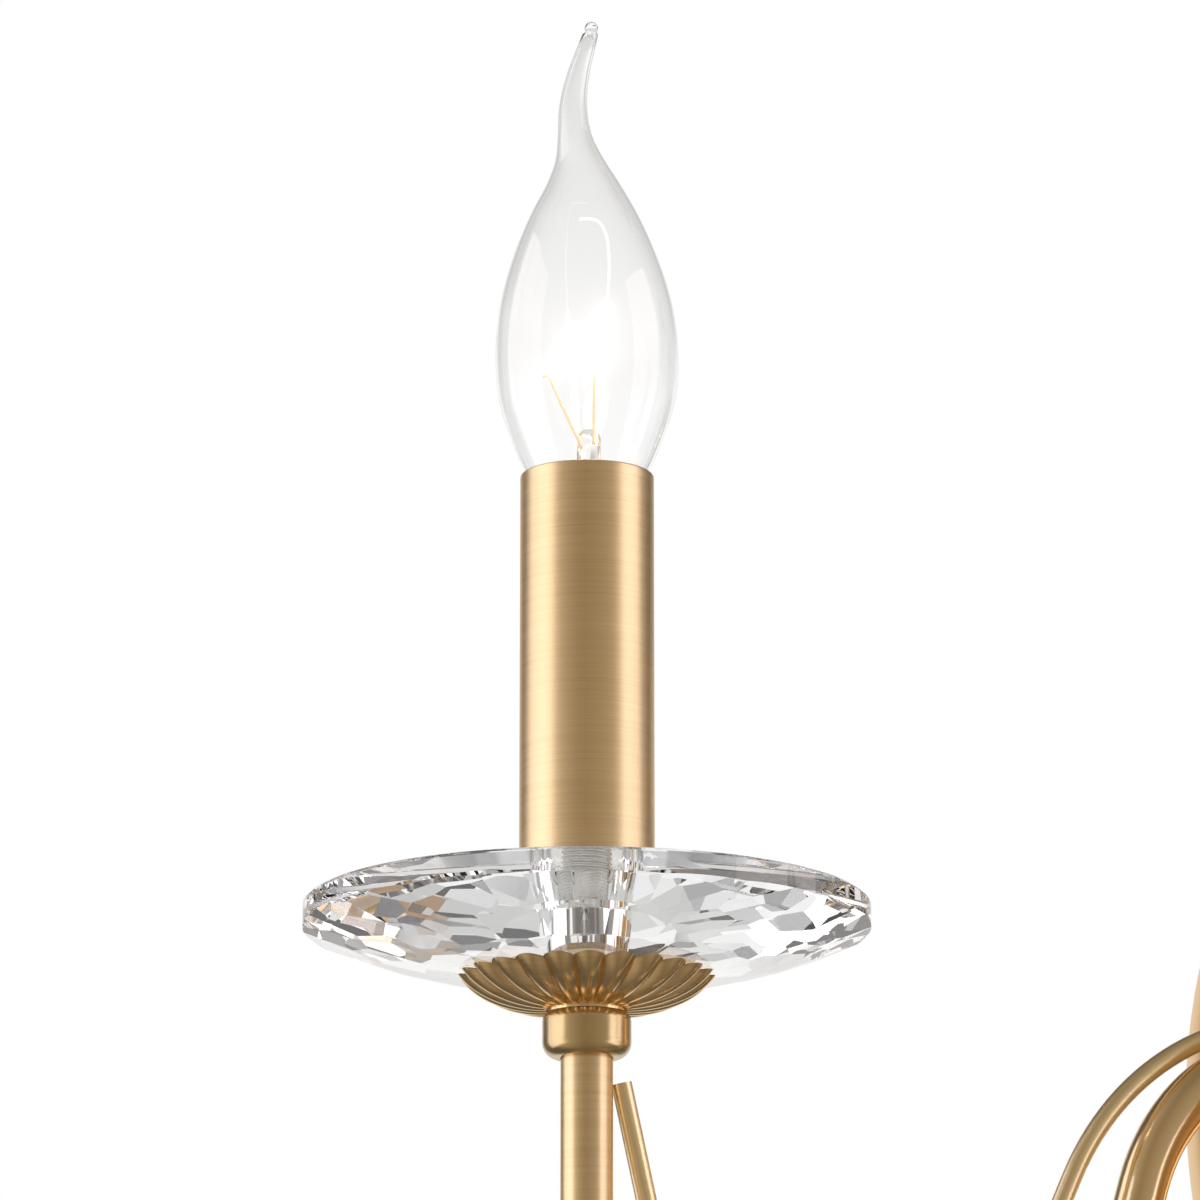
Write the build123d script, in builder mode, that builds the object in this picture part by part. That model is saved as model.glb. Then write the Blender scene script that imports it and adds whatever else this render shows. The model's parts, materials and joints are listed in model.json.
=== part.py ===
"""Candle chandelier: three swept arms round a spun urn, hung from the ceiling on a short chain.

Millimetres, +Z up. The origin is the middle of the ceiling bracket's top face, and the light hangs below it.
Pieces of an arm are drawn once, with the arm along +X, and then turned about Z to each arm's place.
"""

import os
from math import cos, radians, sin, sqrt

from build123d import *

os.makedirs("parts", exist_ok=True)

# Arms round the column
ARM_COUNT = 3
FIRST_ARM_TURN = 210.0
ARM_REACH = 200.0

# Clearances
SLIP = 0.1
WELD_GAP = 0.2
LOOSE = 0.4

# Arm tube: level out of the hub, over a bend, down a leaning leg, round a bowl and up to the candle
TUBE_D = 10.0
TUBE_WALL = 1.0
WIRE_D = 3.6
WIRE_TAIL = 20.0
ARM_DROP = 16.5
BEND_START_R = 40.0
BEND_R = 42.0
LEG_LEAN = 17.0
LEG_LENGTH = 36.0

# Thin accent rod between the candle stem and the top of the bend
ROD_D = 4.0
ROD_TOP_DROP = 34.0
ROD_LEG = 30.0
ROD_LEG_LEAN = 13.2
ROD_RISE_LEAN = 25.0
ROD_ARCH_R = 60.0
ROD_END_LEAN = 70.0
ROD_END_GAP = 1.0

# Bead collar and fluted cup under the dish
BEAD_D = 17.0
BEAD_H = 9.2
BEAD_TOP_ROUND = 2.2
BEAD_FOOT_ROUND = 3.1
CUP_RIM_R = 22.6
CUP_BASE_R = 7.2
CUP_H = 7.0
CUP_WALL = 1.2
CUP_FLOOR_R = 9.6
CUP_LOBES = 24
CUP_LOBE_BULGE = 2.0
CUP_LOBE_BULGE_BASE = 0.6
CUP_STATIONS = (0.0, 0.15, 0.5, 1.0)

# Crystal dish: a flat-topped disc with three rows of facets ground on its underside
DISH_D = 108.6
DISH_RIM_H = 4.5
DISH_RIM_BEVEL = 0.5
DISH_HOLE_D = 14.0
DISH_FACETS = 20
FACET_TILTS = (21.0, 15.0, 7.5)
FACET_ROW_R = (43.0, 31.0)
DISH_CENTRE_H = 14.3
DISH_CUP_GAP = 0.2
WASHER_D = 18.0

# Threaded nipple, lock nut, lamp holder and sleeve
NIPPLE_D = 10.0
NIPPLE_BORE = 7.0
NIPPLE_ABOVE = 14.0
NUT_FLATS = 14.0
NUT_H = 3.0
SLEEVE_D = 26.0
SLEEVE_WALL = 1.0
SLEEVE_H = 85.0
SLEEVE_EDGE_R = 0.4
HOLDER_D = 21.6
HOLDER_BOTTOM = 4.0
HOLDER_TOP_DROP = 13.0
HOLDER_BASE_H = 12.0
HOLDER_CHAMBER_D = 17.0
HOLDER_BORE_H = 25.0
HOLDER_FLOOR_T = 3.0
HOLDER_RIVET_D = 3.0
SHELL_D = 16.4
SHELL_WALL = 0.8
SHELL_H = 21.0
CONTACT_D = 6.0
CONTACT_T = 1.2

# Bulb with a small screw cap; the glass swells to its widest and draws out to a tip that leans and hooks back
CAP_THREAD_D = 13.9
CAP_WALL = 0.6
CAP_SHELL_H = 19.0
CAP_INSULATOR_H = 2.5
CAP_TIP_D = 5.0
CAP_TIP_H = 2.0
CAP_SEAT_GAP = 0.4
GLASS_WALL = 0.7
GLASS_CAP_GAP = 0.4
GLASS_NECK_IN_CAP = 6.0
GLASS_NECK_UP = 1.0
GLASS_SLEEVE_GAP = 0.8
GLASS_SOLID_TIP = 8.0
GLASS_TIP_ROUND = 1.0
TAIL_TURN = 156.0

# Glass above the sleeve: height over the cap, diameter and sideways lean of each round station
GLASS_STATIONS = (
    (27.9, 34.0, 0.0),
    (36.4, 35.6, 0.0),
    (47.6, 33.6, -0.2),
    (57.0, 28.4, -0.4),
    (66.5, 20.6, -0.6),
    (72.8, 14.0, -0.8),
    (77.3, 9.8, -1.4),
    (82.3, 7.0, -2.4),
    (88.7, 5.6, -2.8),
    (95.1, 4.6, -1.9),
    (101.4, 3.6, -0.1),
    (106.3, 2.6, 0.8),
)

# Stem and filament inside the glass
STEM_FLARE_D = 8.0
STEM_FLARE_H = 4.0
STEM_TOP_D = 3.6
STEM_UP = 18.9
LEAD_D = 0.7
LEAD_SPREAD = 5.0
LEAD_RISE = 16.0
FILAMENT_RISE = 27.0
LEAD_CORNER_R = 2.0

# Urn: two spun halves that meet where the arms pass through, each drawn as three tangent arcs
URN_R = 61.2
URN_DROP = 26.0
URN_WALL = 1.2
URN_NECK_D = 22.8
URN_FOOT_D = 21.2
UPPER_BELLY_R = 135.0
UPPER_BELLY_SWEEP = 14.0
SHOULDER_SWEEP = 66.0
NECK_R = 12.0
LOWER_BELLY_R = 150.0
LOWER_BELLY_SWEEP = 16.0
FLANK_SWEEP = 50.0
FOOT_R = 10.0

# Hub, centre rod and its nuts
HUB_D = 52.0
HUB_H = 18.0
HUB_SOCKET_DEPTH = 11.0
HUB_SCREW_D = 4.0
HUB_SCREW_R = 20.0
ROD_NUT_FLATS = 17.0
ROD_NUT_H = 5.0
CENTRE_ROD_D = 10.0
CENTRE_ROD_BORE = 6.0

# Column above and below the urn
STEM_D = 16.0
STEM_WALL = 1.5
STEM_LENGTH = 116.0
NECK_BEAD_H = 12.0
FOOT_BEAD_H = 8.0
BEAD_LIP = 0.5
BEAD_SWELL = 2.2
FINIAL_NECK_D = 12.0
FINIAL_NECK_H = 6.0
FINIAL_BALL_D = 24.0
FINIAL_TIP_D = 8.0
FINIAL_TIP_NECK_D = 6.0
FINIAL_BORE_H = 14.0
BOSS_D = 15.0
BOSS_H = 16.0
BOSS_BORE_H = 12.0

# Chain
LINK_WIRE = 4.0
LINK_BEND_R = 9.0
LINK_STRAIGHT = 20.0
LINK_COUNT = 3
LINK_GAP = 0.3

# Canopy, collar and ceiling bracket
CANOPY_D = 112.0
CANOPY_H = 34.0
CANOPY_GAP = 1.5
CANOPY_WALL = 1.2
CANOPY_FLAT_D = 78.0
COLLAR_D = 24.0
COLLAR_BELLY_D = 23.2
COLLAR_FOOT_D = 16.0
COLLAR_H = 10.0
SHANK_D = 10.0
SHANK_RECESS = 0.5
BRACKET_L = 98.0
BRACKET_W = 22.0
BRACKET_T = 2.5
BRACKET_BUSH_D = 18.0
BRACKET_BUSH_H = 12.0
SLOT_SPACING = 76.0
SLOT_W = 5.2
SLOT_L = 14.0
STUD_SPACING = 50.0
STUD_D = 4.0
CAP_NUT_D = 9.0
CAP_NUT_H = 7.0
CAP_NUT_CROWN = 2.0
CAP_NUT_ROUND = 2.7
BLOCK_X = 9.0
BLOCK_Y = 20.0
BLOCK_Z = 12.0
BLOCK_SCREW_D = 3.0
BLOCK_SCREW_DEPTH = 5.0
BLOCK_POLES = 3

# Heights down the chain, from the ceiling to the middle of the urn
collar_bottom_z = -CANOPY_H - COLLAR_H
canopy_ring_z = collar_bottom_z - LINK_BEND_R - LINK_WIRE / 2 - LOOSE
link_nest = LINK_BEND_R - LINK_WIRE - LINK_GAP
link_pitch = link_nest + LINK_STRAIGHT + LINK_BEND_R
first_bar_z = canopy_ring_z - LINK_BEND_R
link_top_z = [first_bar_z - link_nest - index * link_pitch for index in range(LINK_COUNT)]
last_bar_z = first_bar_z - LINK_COUNT * link_pitch
column_ring_z = last_bar_z - link_nest
boss_top_z = column_ring_z - LINK_BEND_R
boss_bottom_z = boss_top_z - BOSS_H
crown_bottom_z = boss_bottom_z - CUP_WALL
stem_bottom_z = crown_bottom_z - STEM_LENGTH
urn_top_z = stem_bottom_z - NECK_BEAD_H
shoulder_end = UPPER_BELLY_SWEEP + SHOULDER_SWEEP
belly_sin, belly_cos = sin(radians(UPPER_BELLY_SWEEP)), cos(radians(UPPER_BELLY_SWEEP))
neck_sin, neck_cos = sin(radians(shoulder_end)), cos(radians(shoulder_end))
shoulder_span = URN_R - URN_NECK_D / 2 - UPPER_BELLY_R * (1 - belly_cos) - NECK_R * (1 - neck_cos)
shoulder_r = shoulder_span / (belly_cos - neck_cos)
urn_upper_h = UPPER_BELLY_R * belly_sin + shoulder_r * (neck_sin - belly_sin) + NECK_R * neck_sin
flank_end = LOWER_BELLY_SWEEP + FLANK_SWEEP
keel_sin, keel_cos = sin(radians(LOWER_BELLY_SWEEP)), cos(radians(LOWER_BELLY_SWEEP))
foot_sin, foot_cos = sin(radians(flank_end)), cos(radians(flank_end))
flank_span = URN_R - URN_FOOT_D / 2 - LOWER_BELLY_R * (1 - keel_cos) - FOOT_R * (1 - foot_cos)
flank_r = flank_span / (keel_cos - foot_cos)
urn_lower_h = LOWER_BELLY_R * keel_sin + flank_r * (foot_sin - keel_sin) + FOOT_R * foot_sin
urn_belly_z = urn_top_z - urn_upper_h
urn_foot_z = urn_belly_z - urn_lower_h
dish_z = urn_belly_z + URN_DROP
arm_z = dish_z - ARM_DROP
foot_cup_z = urn_foot_z - FOOT_BEAD_H - CUP_WALL

# Corners where the dish's rows of facets begin, from its rim inwards
facet_slopes = [sin(radians(tilt)) / cos(radians(tilt)) for tilt in FACET_TILTS]
row_r = (DISH_D / 2, *FACET_ROW_R)
row_z = [-DISH_RIM_H]
for row in range(len(FACET_ROW_R)):
    row_z.append(row_z[row] - (row_r[row] - row_r[row + 1]) * facet_slopes[row])
cup_reach = (CUP_RIM_R - CUP_WALL) * cos(radians(180.0 / DISH_FACETS))
dish_over_cup = row_z[-1] - (row_r[-1] - cup_reach) * facet_slopes[-1]

# Heights round the candle, counted from the dish's flat top
dish_bottom = -DISH_CENTRE_H
cup_bottom = dish_over_cup - DISH_CUP_GAP - CUP_H
washer_h = dish_bottom - cup_bottom - CUP_WALL
bead_bottom = cup_bottom - BEAD_H
tube_top = cup_bottom - BEAD_H / 2
holder_top = SLEEVE_H - HOLDER_TOP_DROP
holder_seat = holder_top - HOLDER_BORE_H
holder_floor = holder_seat - HOLDER_FLOOR_T
cap_bottom = holder_seat + CONTACT_T + CAP_SEAT_GAP
cap_shell_bottom = cap_bottom + CAP_TIP_H + CAP_INSULATOR_H
cap_top = cap_shell_bottom + CAP_SHELL_H
neck_bottom = cap_top - GLASS_NECK_IN_CAP
glass_neck_d = CAP_THREAD_D - 2 * CAP_WALL - 2 * GLASS_CAP_GAP
glass_rim_d = SLEEVE_D - 2 * SLEEVE_WALL - 2 * GLASS_SLEEVE_GAP
stem_top = cap_top + STEM_UP

# Bend of the arm tube, and the height at which it passes through the urn's wall
bend_centre_z = arm_z - BEND_R
urn_split_z = bend_centre_z + sqrt(BEND_R**2 - (URN_R - BEND_START_R) ** 2)
hub_socket_r = HUB_D / 2 - HUB_SOCKET_DEPTH

# The rod's bowl and its rise are found from its two ends: the candle stem, and the weld on top of the bend
rod_start_r = ARM_REACH - TUBE_D / 2 - ROD_D / 2 - WELD_GAP
rod_end_r = URN_R + ROD_END_GAP
weld_r = BEND_R + TUBE_D / 2 + ROD_D / 2 + WELD_GAP
rod_end_z = bend_centre_z + sqrt(weld_r**2 - (rod_end_r - BEND_START_R) ** 2)
leg_sin, leg_cos = sin(radians(ROD_LEG_LEAN)), cos(radians(ROD_LEG_LEAN))
rise_sin, rise_cos = sin(radians(ROD_RISE_LEAN)), cos(radians(ROD_RISE_LEAN))
end_sin, end_cos = sin(radians(ROD_END_LEAN)), cos(radians(ROD_END_LEAN))
across = rod_start_r - rod_end_r - ROD_LEG * leg_sin - ROD_ARCH_R * (rise_cos - end_cos)
upward = rod_end_z - (dish_z - ROD_TOP_DROP - ROD_LEG * leg_cos) - ROD_ARCH_R * (end_sin - rise_sin)
spread = leg_cos + rise_cos
sink = rise_sin - leg_sin
rod_bowl_r = (across * rise_cos - upward * rise_sin) / (spread * rise_cos + sink * rise_sin)
rod_rise = (upward * spread + across * sink) / (spread * rise_cos + sink * rise_sin)

CANDLE_AXIS = Axis((ARM_REACH, 0, 0), (0, 0, 1))
CANDLE_PLANE = Plane(origin=(ARM_REACH, 0, dish_z), x_dir=(1, 0, 0), z_dir=(0, -1, 0))
ARM_TURNS = [FIRST_ARM_TURN + index * 360.0 / ARM_COUNT for index in range(ARM_COUNT)]


def save(piece, label):
    """Label a finished piece and write it."""
    piece.part.label = label
    export_step(piece.part, f"parts/{label}.step")


def save_each_arm(piece, label):
    """Write one copy of an arm's piece for every arm."""
    for index, turn in enumerate(ARM_TURNS, start=1):
        with BuildPart() as copy:
            add(piece.part.rotate(Axis.Z, turn))
        save(copy, f"{label}_{index}")


def save_together(piece, label):
    """Write the copies of a small arm piece for every arm as one group."""
    with BuildPart() as group:
        for turn in ARM_TURNS:
            add(piece.part.rotate(Axis.Z, turn))
    save(group, label)


def candle_height(height):
    """Level plane on the candle's axis, at a height above the dish's flat top."""
    return Plane(origin=(ARM_REACH, 0, dish_z + height))


def column_height(height):
    """Level plane on the column's axis."""
    return Plane.XY.offset(height)


def draw_arm_path():
    """Centre line of the arm tube, from the hub to the top of the candle stem."""
    with BuildLine(Plane.XZ) as path:
        run = Line((hub_socket_r, arm_z), (BEND_START_R, arm_z))
        bend = JernArc(run @ 1, run % 1, BEND_R, LEG_LEAN - 90)
        leg = Line(bend @ 1, (bend @ 1) + (bend % 1) * LEG_LENGTH)
        bowl_r = (ARM_REACH - (leg @ 1).X) / (1 + cos(radians(LEG_LEAN)))
        bowl = JernArc(leg @ 1, leg % 1, bowl_r, 180 - LEG_LEAN)
        Line(bowl @ 1, (ARM_REACH, dish_z + tube_top))
    return path.wires()[0]


def draw_rod_path():
    """Centre line of the accent rod, from the candle stem to the weld on the arm's bend."""
    with BuildLine(Plane.XZ) as path:
        top = (rod_start_r, dish_z - ROD_TOP_DROP)
        leg = PolarLine(top, ROD_LEG, 270 - ROD_LEG_LEAN)
        bowl = JernArc(leg @ 1, leg % 1, rod_bowl_r, ROD_LEG_LEAN + ROD_RISE_LEAN - 180)
        rise = Line(bowl @ 1, (bowl @ 1) + (bowl % 1) * rod_rise)
        JernArc(rise @ 1, rise % 1, ROD_ARCH_R, ROD_END_LEAN - ROD_RISE_LEAN)
    return path.wires()[0]


arm_path = draw_arm_path()
rod_path = draw_rod_path()


# Arm tube, its accent rod and the wires inside it
with BuildPart() as arm_tube:
    with BuildSketch(Plane(origin=arm_path @ 0, z_dir=arm_path % 0)):
        Circle(TUBE_D / 2)
        Circle(TUBE_D / 2 - TUBE_WALL, mode=Mode.SUBTRACT)
    sweep(path=arm_path)
save_each_arm(arm_tube, "arm_tube")

with BuildPart() as accent_rod:
    with BuildSketch(Plane(origin=rod_path @ 0, z_dir=rod_path % 0)):
        Circle(ROD_D / 2)
    sweep(path=rod_path)
save_each_arm(accent_rod, "accent_rod")

with BuildLine(Plane.XZ) as wire_line:
    add(arm_path)
    Line(arm_path @ 1, (ARM_REACH, dish_z + NIPPLE_ABOVE + WIRE_TAIL))
wire_path = wire_line.wires()[0]

with BuildPart() as arm_wire:
    with BuildSketch(Plane(origin=arm_path @ 0, z_dir=arm_path % 0)):
        Circle(WIRE_D / 2)
    sweep(path=wire_path)
save_together(arm_wire, "arm_wires")


# Bead collar: it takes the arm tube from below and the nipple from above
with BuildPart() as bead_collar:
    with BuildSketch(candle_height(bead_bottom)):
        Circle(BEAD_D / 2)
    extrude(amount=BEAD_H)
    fillet(bead_collar.faces().sort_by(Axis.Z)[0].edges(), radius=BEAD_FOOT_ROUND)
    fillet(bead_collar.faces().sort_by(Axis.Z)[-1].edges(), radius=BEAD_TOP_ROUND)
    with BuildSketch(candle_height(bead_bottom)):
        Circle(TUBE_D / 2 + SLIP)
    extrude(amount=BEAD_H, mode=Mode.SUBTRACT)
save_each_arm(bead_collar, "bead_collar")


def cup_radius(rise):
    """Quarter-ellipse bowl: radius of the cup's valleys at a share of its height."""
    return CUP_BASE_R + (CUP_RIM_R - CUP_BASE_R) * sqrt(1 - (1 - rise) ** 2)


def draw_lobes(plane, rise):
    """Ring of round lobes that bulge more towards the cup's rim."""
    valley_r = cup_radius(rise)
    bulge = CUP_LOBE_BULGE_BASE + (CUP_LOBE_BULGE - CUP_LOBE_BULGE_BASE) * rise
    step = 360.0 / CUP_LOBES
    with BuildSketch(plane) as section:
        with BuildLine():
            for index in range(CUP_LOBES):
                start = Vector(valley_r, 0).rotate(Axis.Z, index * step)
                crest = Vector(valley_r + bulge, 0).rotate(Axis.Z, (index + 0.5) * step)
                finish = Vector(valley_r, 0).rotate(Axis.Z, (index + 1) * step)
                ThreePointArc(start, crest, finish)
        make_face()
    return section.sketch


def draw_cup_inside(plane, bore_d):
    """Half section of a cup's inside: the same bowl one wall smaller, and the hole in its floor."""
    floor_r = CUP_FLOOR_R
    rim_r = CUP_RIM_R - CUP_WALL
    inside_h = CUP_H - CUP_WALL
    with BuildSketch(plane) as section:
        with BuildLine():
            wall = EllipticalCenterArc((floor_r, CUP_H), rim_r - floor_r, inside_h, 270, arc_size=90)
            Polyline(wall @ 1, (0, CUP_H), (0, 0), (bore_d / 2, 0), (bore_d / 2, CUP_WALL), wall @ 0)
        make_face()
    return section.sketch


# Fluted cup, drawn with its floor on the level plane
with BuildPart() as plain_cup:
    loft(sections=[draw_lobes(column_height(CUP_H * station), station) for station in CUP_STATIONS])
    revolve(draw_cup_inside(Plane.XZ, NIPPLE_D + 2 * LOOSE), axis=Axis.Z, mode=Mode.SUBTRACT)

# Cup under each dish
with BuildPart() as fluted_cup:
    add(plain_cup.part.moved(Location((ARM_REACH, 0, dish_z + cup_bottom))))
save_each_arm(fluted_cup, "fluted_cup")

# Two more such cups on the column: a crown on the upper stem and one round the urn's foot
with BuildPart() as column_cups:
    for cup_z in (crown_bottom_z, foot_cup_z):
        add(plain_cup.part.moved(Location((0, 0, cup_z))))
save(column_cups, "column_cups")


# Crystal dish: a blank ground by rings of planes, each row half a facet round from the row outside it
with BuildPart() as crystal_dish:
    with BuildSketch(candle_height(dish_bottom)):
        Circle(DISH_D / 2)
    extrude(amount=DISH_CENTRE_H)
    chamfer(crystal_dish.edges().sort_by(Axis.Z)[-1], length=DISH_RIM_BEVEL)
    for row, tilt in enumerate(FACET_TILTS):
        for index in range(DISH_FACETS):
            turn = (index + row / 2) * 360.0 / DISH_FACETS
            outward = Vector(1, 0, 0).rotate(Axis.Z, turn)
            corner = Vector(ARM_REACH, 0, dish_z + row_z[row]) + outward * row_r[row]
            lean = outward * sin(radians(tilt)) - Vector(0, 0, cos(radians(tilt)))
            split(bisect_by=Plane(origin=corner, z_dir=lean), keep=Keep.BOTTOM)
    with BuildSketch(candle_height(0)):
        Circle(DISH_HOLE_D / 2)
    extrude(amount=-DISH_CENTRE_H, mode=Mode.SUBTRACT)
save_each_arm(crystal_dish, "crystal_dish")


# Washer, threaded nipple and lock nut that clamp the cup and the dish
with BuildPart() as dish_washer:
    with BuildSketch(candle_height(dish_bottom - washer_h)):
        Circle(WASHER_D / 2)
        Circle(NIPPLE_D / 2 + LOOSE, mode=Mode.SUBTRACT)
    extrude(amount=washer_h)
save_together(dish_washer, "dish_washers")

with BuildPart() as threaded_nipple:
    with BuildSketch(candle_height(tube_top + SLIP)):
        Circle(NIPPLE_D / 2)
        Circle(NIPPLE_BORE / 2, mode=Mode.SUBTRACT)
    extrude(amount=NIPPLE_ABOVE - tube_top - SLIP)
save_together(threaded_nipple, "threaded_nipples")

with BuildPart() as lock_nut:
    with BuildSketch(candle_height(0)):
        RegularPolygon(NUT_FLATS / 2, 6, major_radius=False)
        Circle(NIPPLE_D / 2 + SLIP / 2, mode=Mode.SUBTRACT)
    extrude(amount=NUT_H)
save_together(lock_nut, "lock_nuts")


# Candle sleeve, standing on the dish round the lamp holder
with BuildPart() as candle_sleeve:
    with BuildSketch(candle_height(0)):
        Circle(SLEEVE_D / 2)
        Circle(SLEEVE_D / 2 - SLEEVE_WALL, mode=Mode.SUBTRACT)
    extrude(amount=SLEEVE_H)
    fillet(candle_sleeve.faces().sort_by(Axis.Z)[-1].edges(), radius=SLEEVE_EDGE_R)
save_each_arm(candle_sleeve, "candle_sleeve")


# Lamp holder: threaded base, wire chamber, floor for the centre contact and bore for the screw shell
with BuildPart() as socket_body:
    with BuildSketch(candle_height(HOLDER_BOTTOM)):
        Circle(HOLDER_D / 2)
    extrude(amount=holder_top - HOLDER_BOTTOM)
    with BuildSketch(candle_height(HOLDER_BOTTOM)):
        Circle(NIPPLE_D / 2 + SLIP / 2)
    extrude(amount=HOLDER_BASE_H, mode=Mode.SUBTRACT)
    with BuildSketch(candle_height(HOLDER_BOTTOM + HOLDER_BASE_H)):
        Circle(HOLDER_CHAMBER_D / 2)
    extrude(amount=holder_floor - HOLDER_BOTTOM - HOLDER_BASE_H, mode=Mode.SUBTRACT)
    with BuildSketch(candle_height(holder_floor)):
        Circle(HOLDER_RIVET_D / 2)
    extrude(amount=HOLDER_FLOOR_T, mode=Mode.SUBTRACT)
    with BuildSketch(candle_height(holder_seat)):
        Circle(SHELL_D / 2 + SLIP / 2)
    extrude(amount=HOLDER_BORE_H, mode=Mode.SUBTRACT)
save_each_arm(socket_body, "socket_body")

with BuildPart() as socket_contact:
    with BuildSketch(candle_height(holder_top - SHELL_H)):
        Circle(SHELL_D / 2)
        Circle(SHELL_D / 2 - SHELL_WALL, mode=Mode.SUBTRACT)
    extrude(amount=SHELL_H)
    with BuildSketch(candle_height(holder_seat)):
        Circle(CONTACT_D / 2)
    extrude(amount=CONTACT_T)
save_together(socket_contact, "socket_contacts")


# Bulb: screw cap, hollow glass with a leaning tip, stem and filament
with BuildPart() as bulb_cap:
    with BuildSketch(CANDLE_PLANE):
        with BuildLine():
            Polyline(
                (0, cap_bottom),
                (CAP_TIP_D / 2, cap_bottom),
                (CAP_TIP_D / 2, cap_bottom + CAP_TIP_H),
                (CAP_THREAD_D / 2, cap_shell_bottom),
                (CAP_THREAD_D / 2, cap_top),
                (CAP_THREAD_D / 2 - CAP_WALL, cap_top),
                (CAP_THREAD_D / 2 - CAP_WALL, cap_shell_bottom),
                (0, cap_shell_bottom),
                close=True,
            )
        make_face()
    revolve(axis=CANDLE_AXIS)
save_each_arm(bulb_cap, "bulb_cap")

TAIL_WAY = Vector(1, 0, 0).rotate(Axis.Z, TAIL_TURN)


def draw_glass(inset):
    """Round sections of the glass from its neck to its tip, each one inset from the outside."""
    stations = [
        (neck_bottom, glass_neck_d, 0.0),
        (cap_top + GLASS_NECK_UP, glass_neck_d, 0.0),
        (SLEEVE_H, glass_rim_d, 0.0),
    ]
    stations += [(cap_top + height, diameter, lean) for height, diameter, lean in GLASS_STATIONS]
    sections = []
    for rise, diameter, lean in stations:
        centre = Vector(ARM_REACH, 0, dish_z + rise) + TAIL_WAY * lean
        with BuildSketch(Plane(origin=centre)) as section:
            Circle(diameter / 2 - inset)
        sections.append(section.sketch)
    return sections


glass_tip = cap_top + GLASS_STATIONS[-1][0]
with BuildPart() as glass_inside:
    loft(sections=draw_glass(GLASS_WALL))
    split(bisect_by=candle_height(glass_tip - GLASS_SOLID_TIP), keep=Keep.BOTTOM)

with BuildPart() as bulb_glass:
    loft(sections=draw_glass(0.0))
    fillet(bulb_glass.edges().sort_by(Axis.Z)[-1], radius=GLASS_TIP_ROUND)
    add(glass_inside.part, mode=Mode.SUBTRACT)
save_each_arm(bulb_glass, "bulb_glass")

glass_neck_inside_r = glass_neck_d / 2 - GLASS_WALL
with BuildPart() as bulb_stem:
    with BuildSketch(CANDLE_PLANE):
        with BuildLine():
            Polyline(
                (0, neck_bottom),
                (glass_neck_inside_r - SLIP / 2, neck_bottom),
                (STEM_FLARE_D / 2, neck_bottom + STEM_FLARE_H),
                (STEM_TOP_D / 2, stem_top - STEM_FLARE_H),
                (STEM_TOP_D / 2, stem_top),
                (0, stem_top),
                close=True,
            )
        make_face()
    revolve(axis=CANDLE_AXIS)
save_each_arm(bulb_stem, "bulb_stem")

filament_plane = Plane(origin=(ARM_REACH, 0, dish_z), x_dir=TAIL_WAY, z_dir=TAIL_WAY.cross(Vector(0, 0, 1)))
lead_foot = stem_top + LEAD_D / 2
with BuildLine(filament_plane) as filament_line:
    FilletPolyline(
        (-LEAD_D, lead_foot),
        (-LEAD_SPREAD, stem_top + LEAD_RISE),
        (0, stem_top + FILAMENT_RISE),
        (LEAD_SPREAD, stem_top + LEAD_RISE),
        (LEAD_D, lead_foot),
        radius=LEAD_CORNER_R,
    )
filament_path = filament_line.wires()[0]

with BuildPart() as bulb_filament:
    with BuildSketch(Plane(origin=filament_path @ 0, z_dir=filament_path % 0)):
        Circle(LEAD_D / 2)
    sweep(path=filament_path)
save_each_arm(bulb_filament, "bulb_filament")


def draw_urn_side(inset):
    """Outline of the urn from neck to foot, moved in from the outside by an inset."""
    with BuildLine() as side:
        belly = (URN_R - inset, urn_belly_z)
        upper = JernArc(belly, (0, 1), UPPER_BELLY_R - inset, UPPER_BELLY_SWEEP)
        shoulder = JernArc(upper @ 1, upper % 1, shoulder_r - inset, SHOULDER_SWEEP)
        JernArc(shoulder @ 1, shoulder % 1, NECK_R + inset, -shoulder_end)
        lower = JernArc(belly, (0, -1), LOWER_BELLY_R - inset, -LOWER_BELLY_SWEEP)
        flank = JernArc(lower @ 1, lower % 1, flank_r - inset, -FLANK_SWEEP)
        JernArc(flank @ 1, flank % 1, FOOT_R + inset, flank_end)
    return side.line


# Notch that each arm takes out of the urn's wall
with BuildLine(Plane.XZ) as notch_line:
    JernArc((BEND_START_R, arm_z), (1, 0), BEND_R, LEG_LEAN - 90)

with BuildPart() as arm_notch:
    with BuildSketch(Plane(origin=notch_line.line @ 0, z_dir=notch_line.line % 0)):
        Circle(TUBE_D / 2 + LOOSE)
    sweep(path=notch_line.wires()[0])

# Urn, spun as one shell and parted at the arms
with BuildPart() as urn_shell:
    with BuildSketch(Plane.XZ):
        with BuildLine():
            add(draw_urn_side(0.0))
            add(draw_urn_side(URN_WALL))
            Line((URN_NECK_D / 2, urn_top_z), (URN_NECK_D / 2 - URN_WALL, urn_top_z))
            Line((URN_FOOT_D / 2, urn_foot_z), (URN_FOOT_D / 2 - URN_WALL, urn_foot_z))
        make_face()
    revolve(axis=Axis.Z)
    for turn in ARM_TURNS:
        add(arm_notch.part.rotate(Axis.Z, turn), mode=Mode.SUBTRACT)

with BuildPart() as urn_upper:
    add(urn_shell.part)
    split(bisect_by=column_height(urn_split_z), keep=Keep.TOP)
save(urn_upper, "urn_upper")

with BuildPart() as urn_lower:
    add(urn_shell.part)
    split(bisect_by=column_height(urn_split_z), keep=Keep.BOTTOM)
save(urn_lower, "urn_lower")


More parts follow.
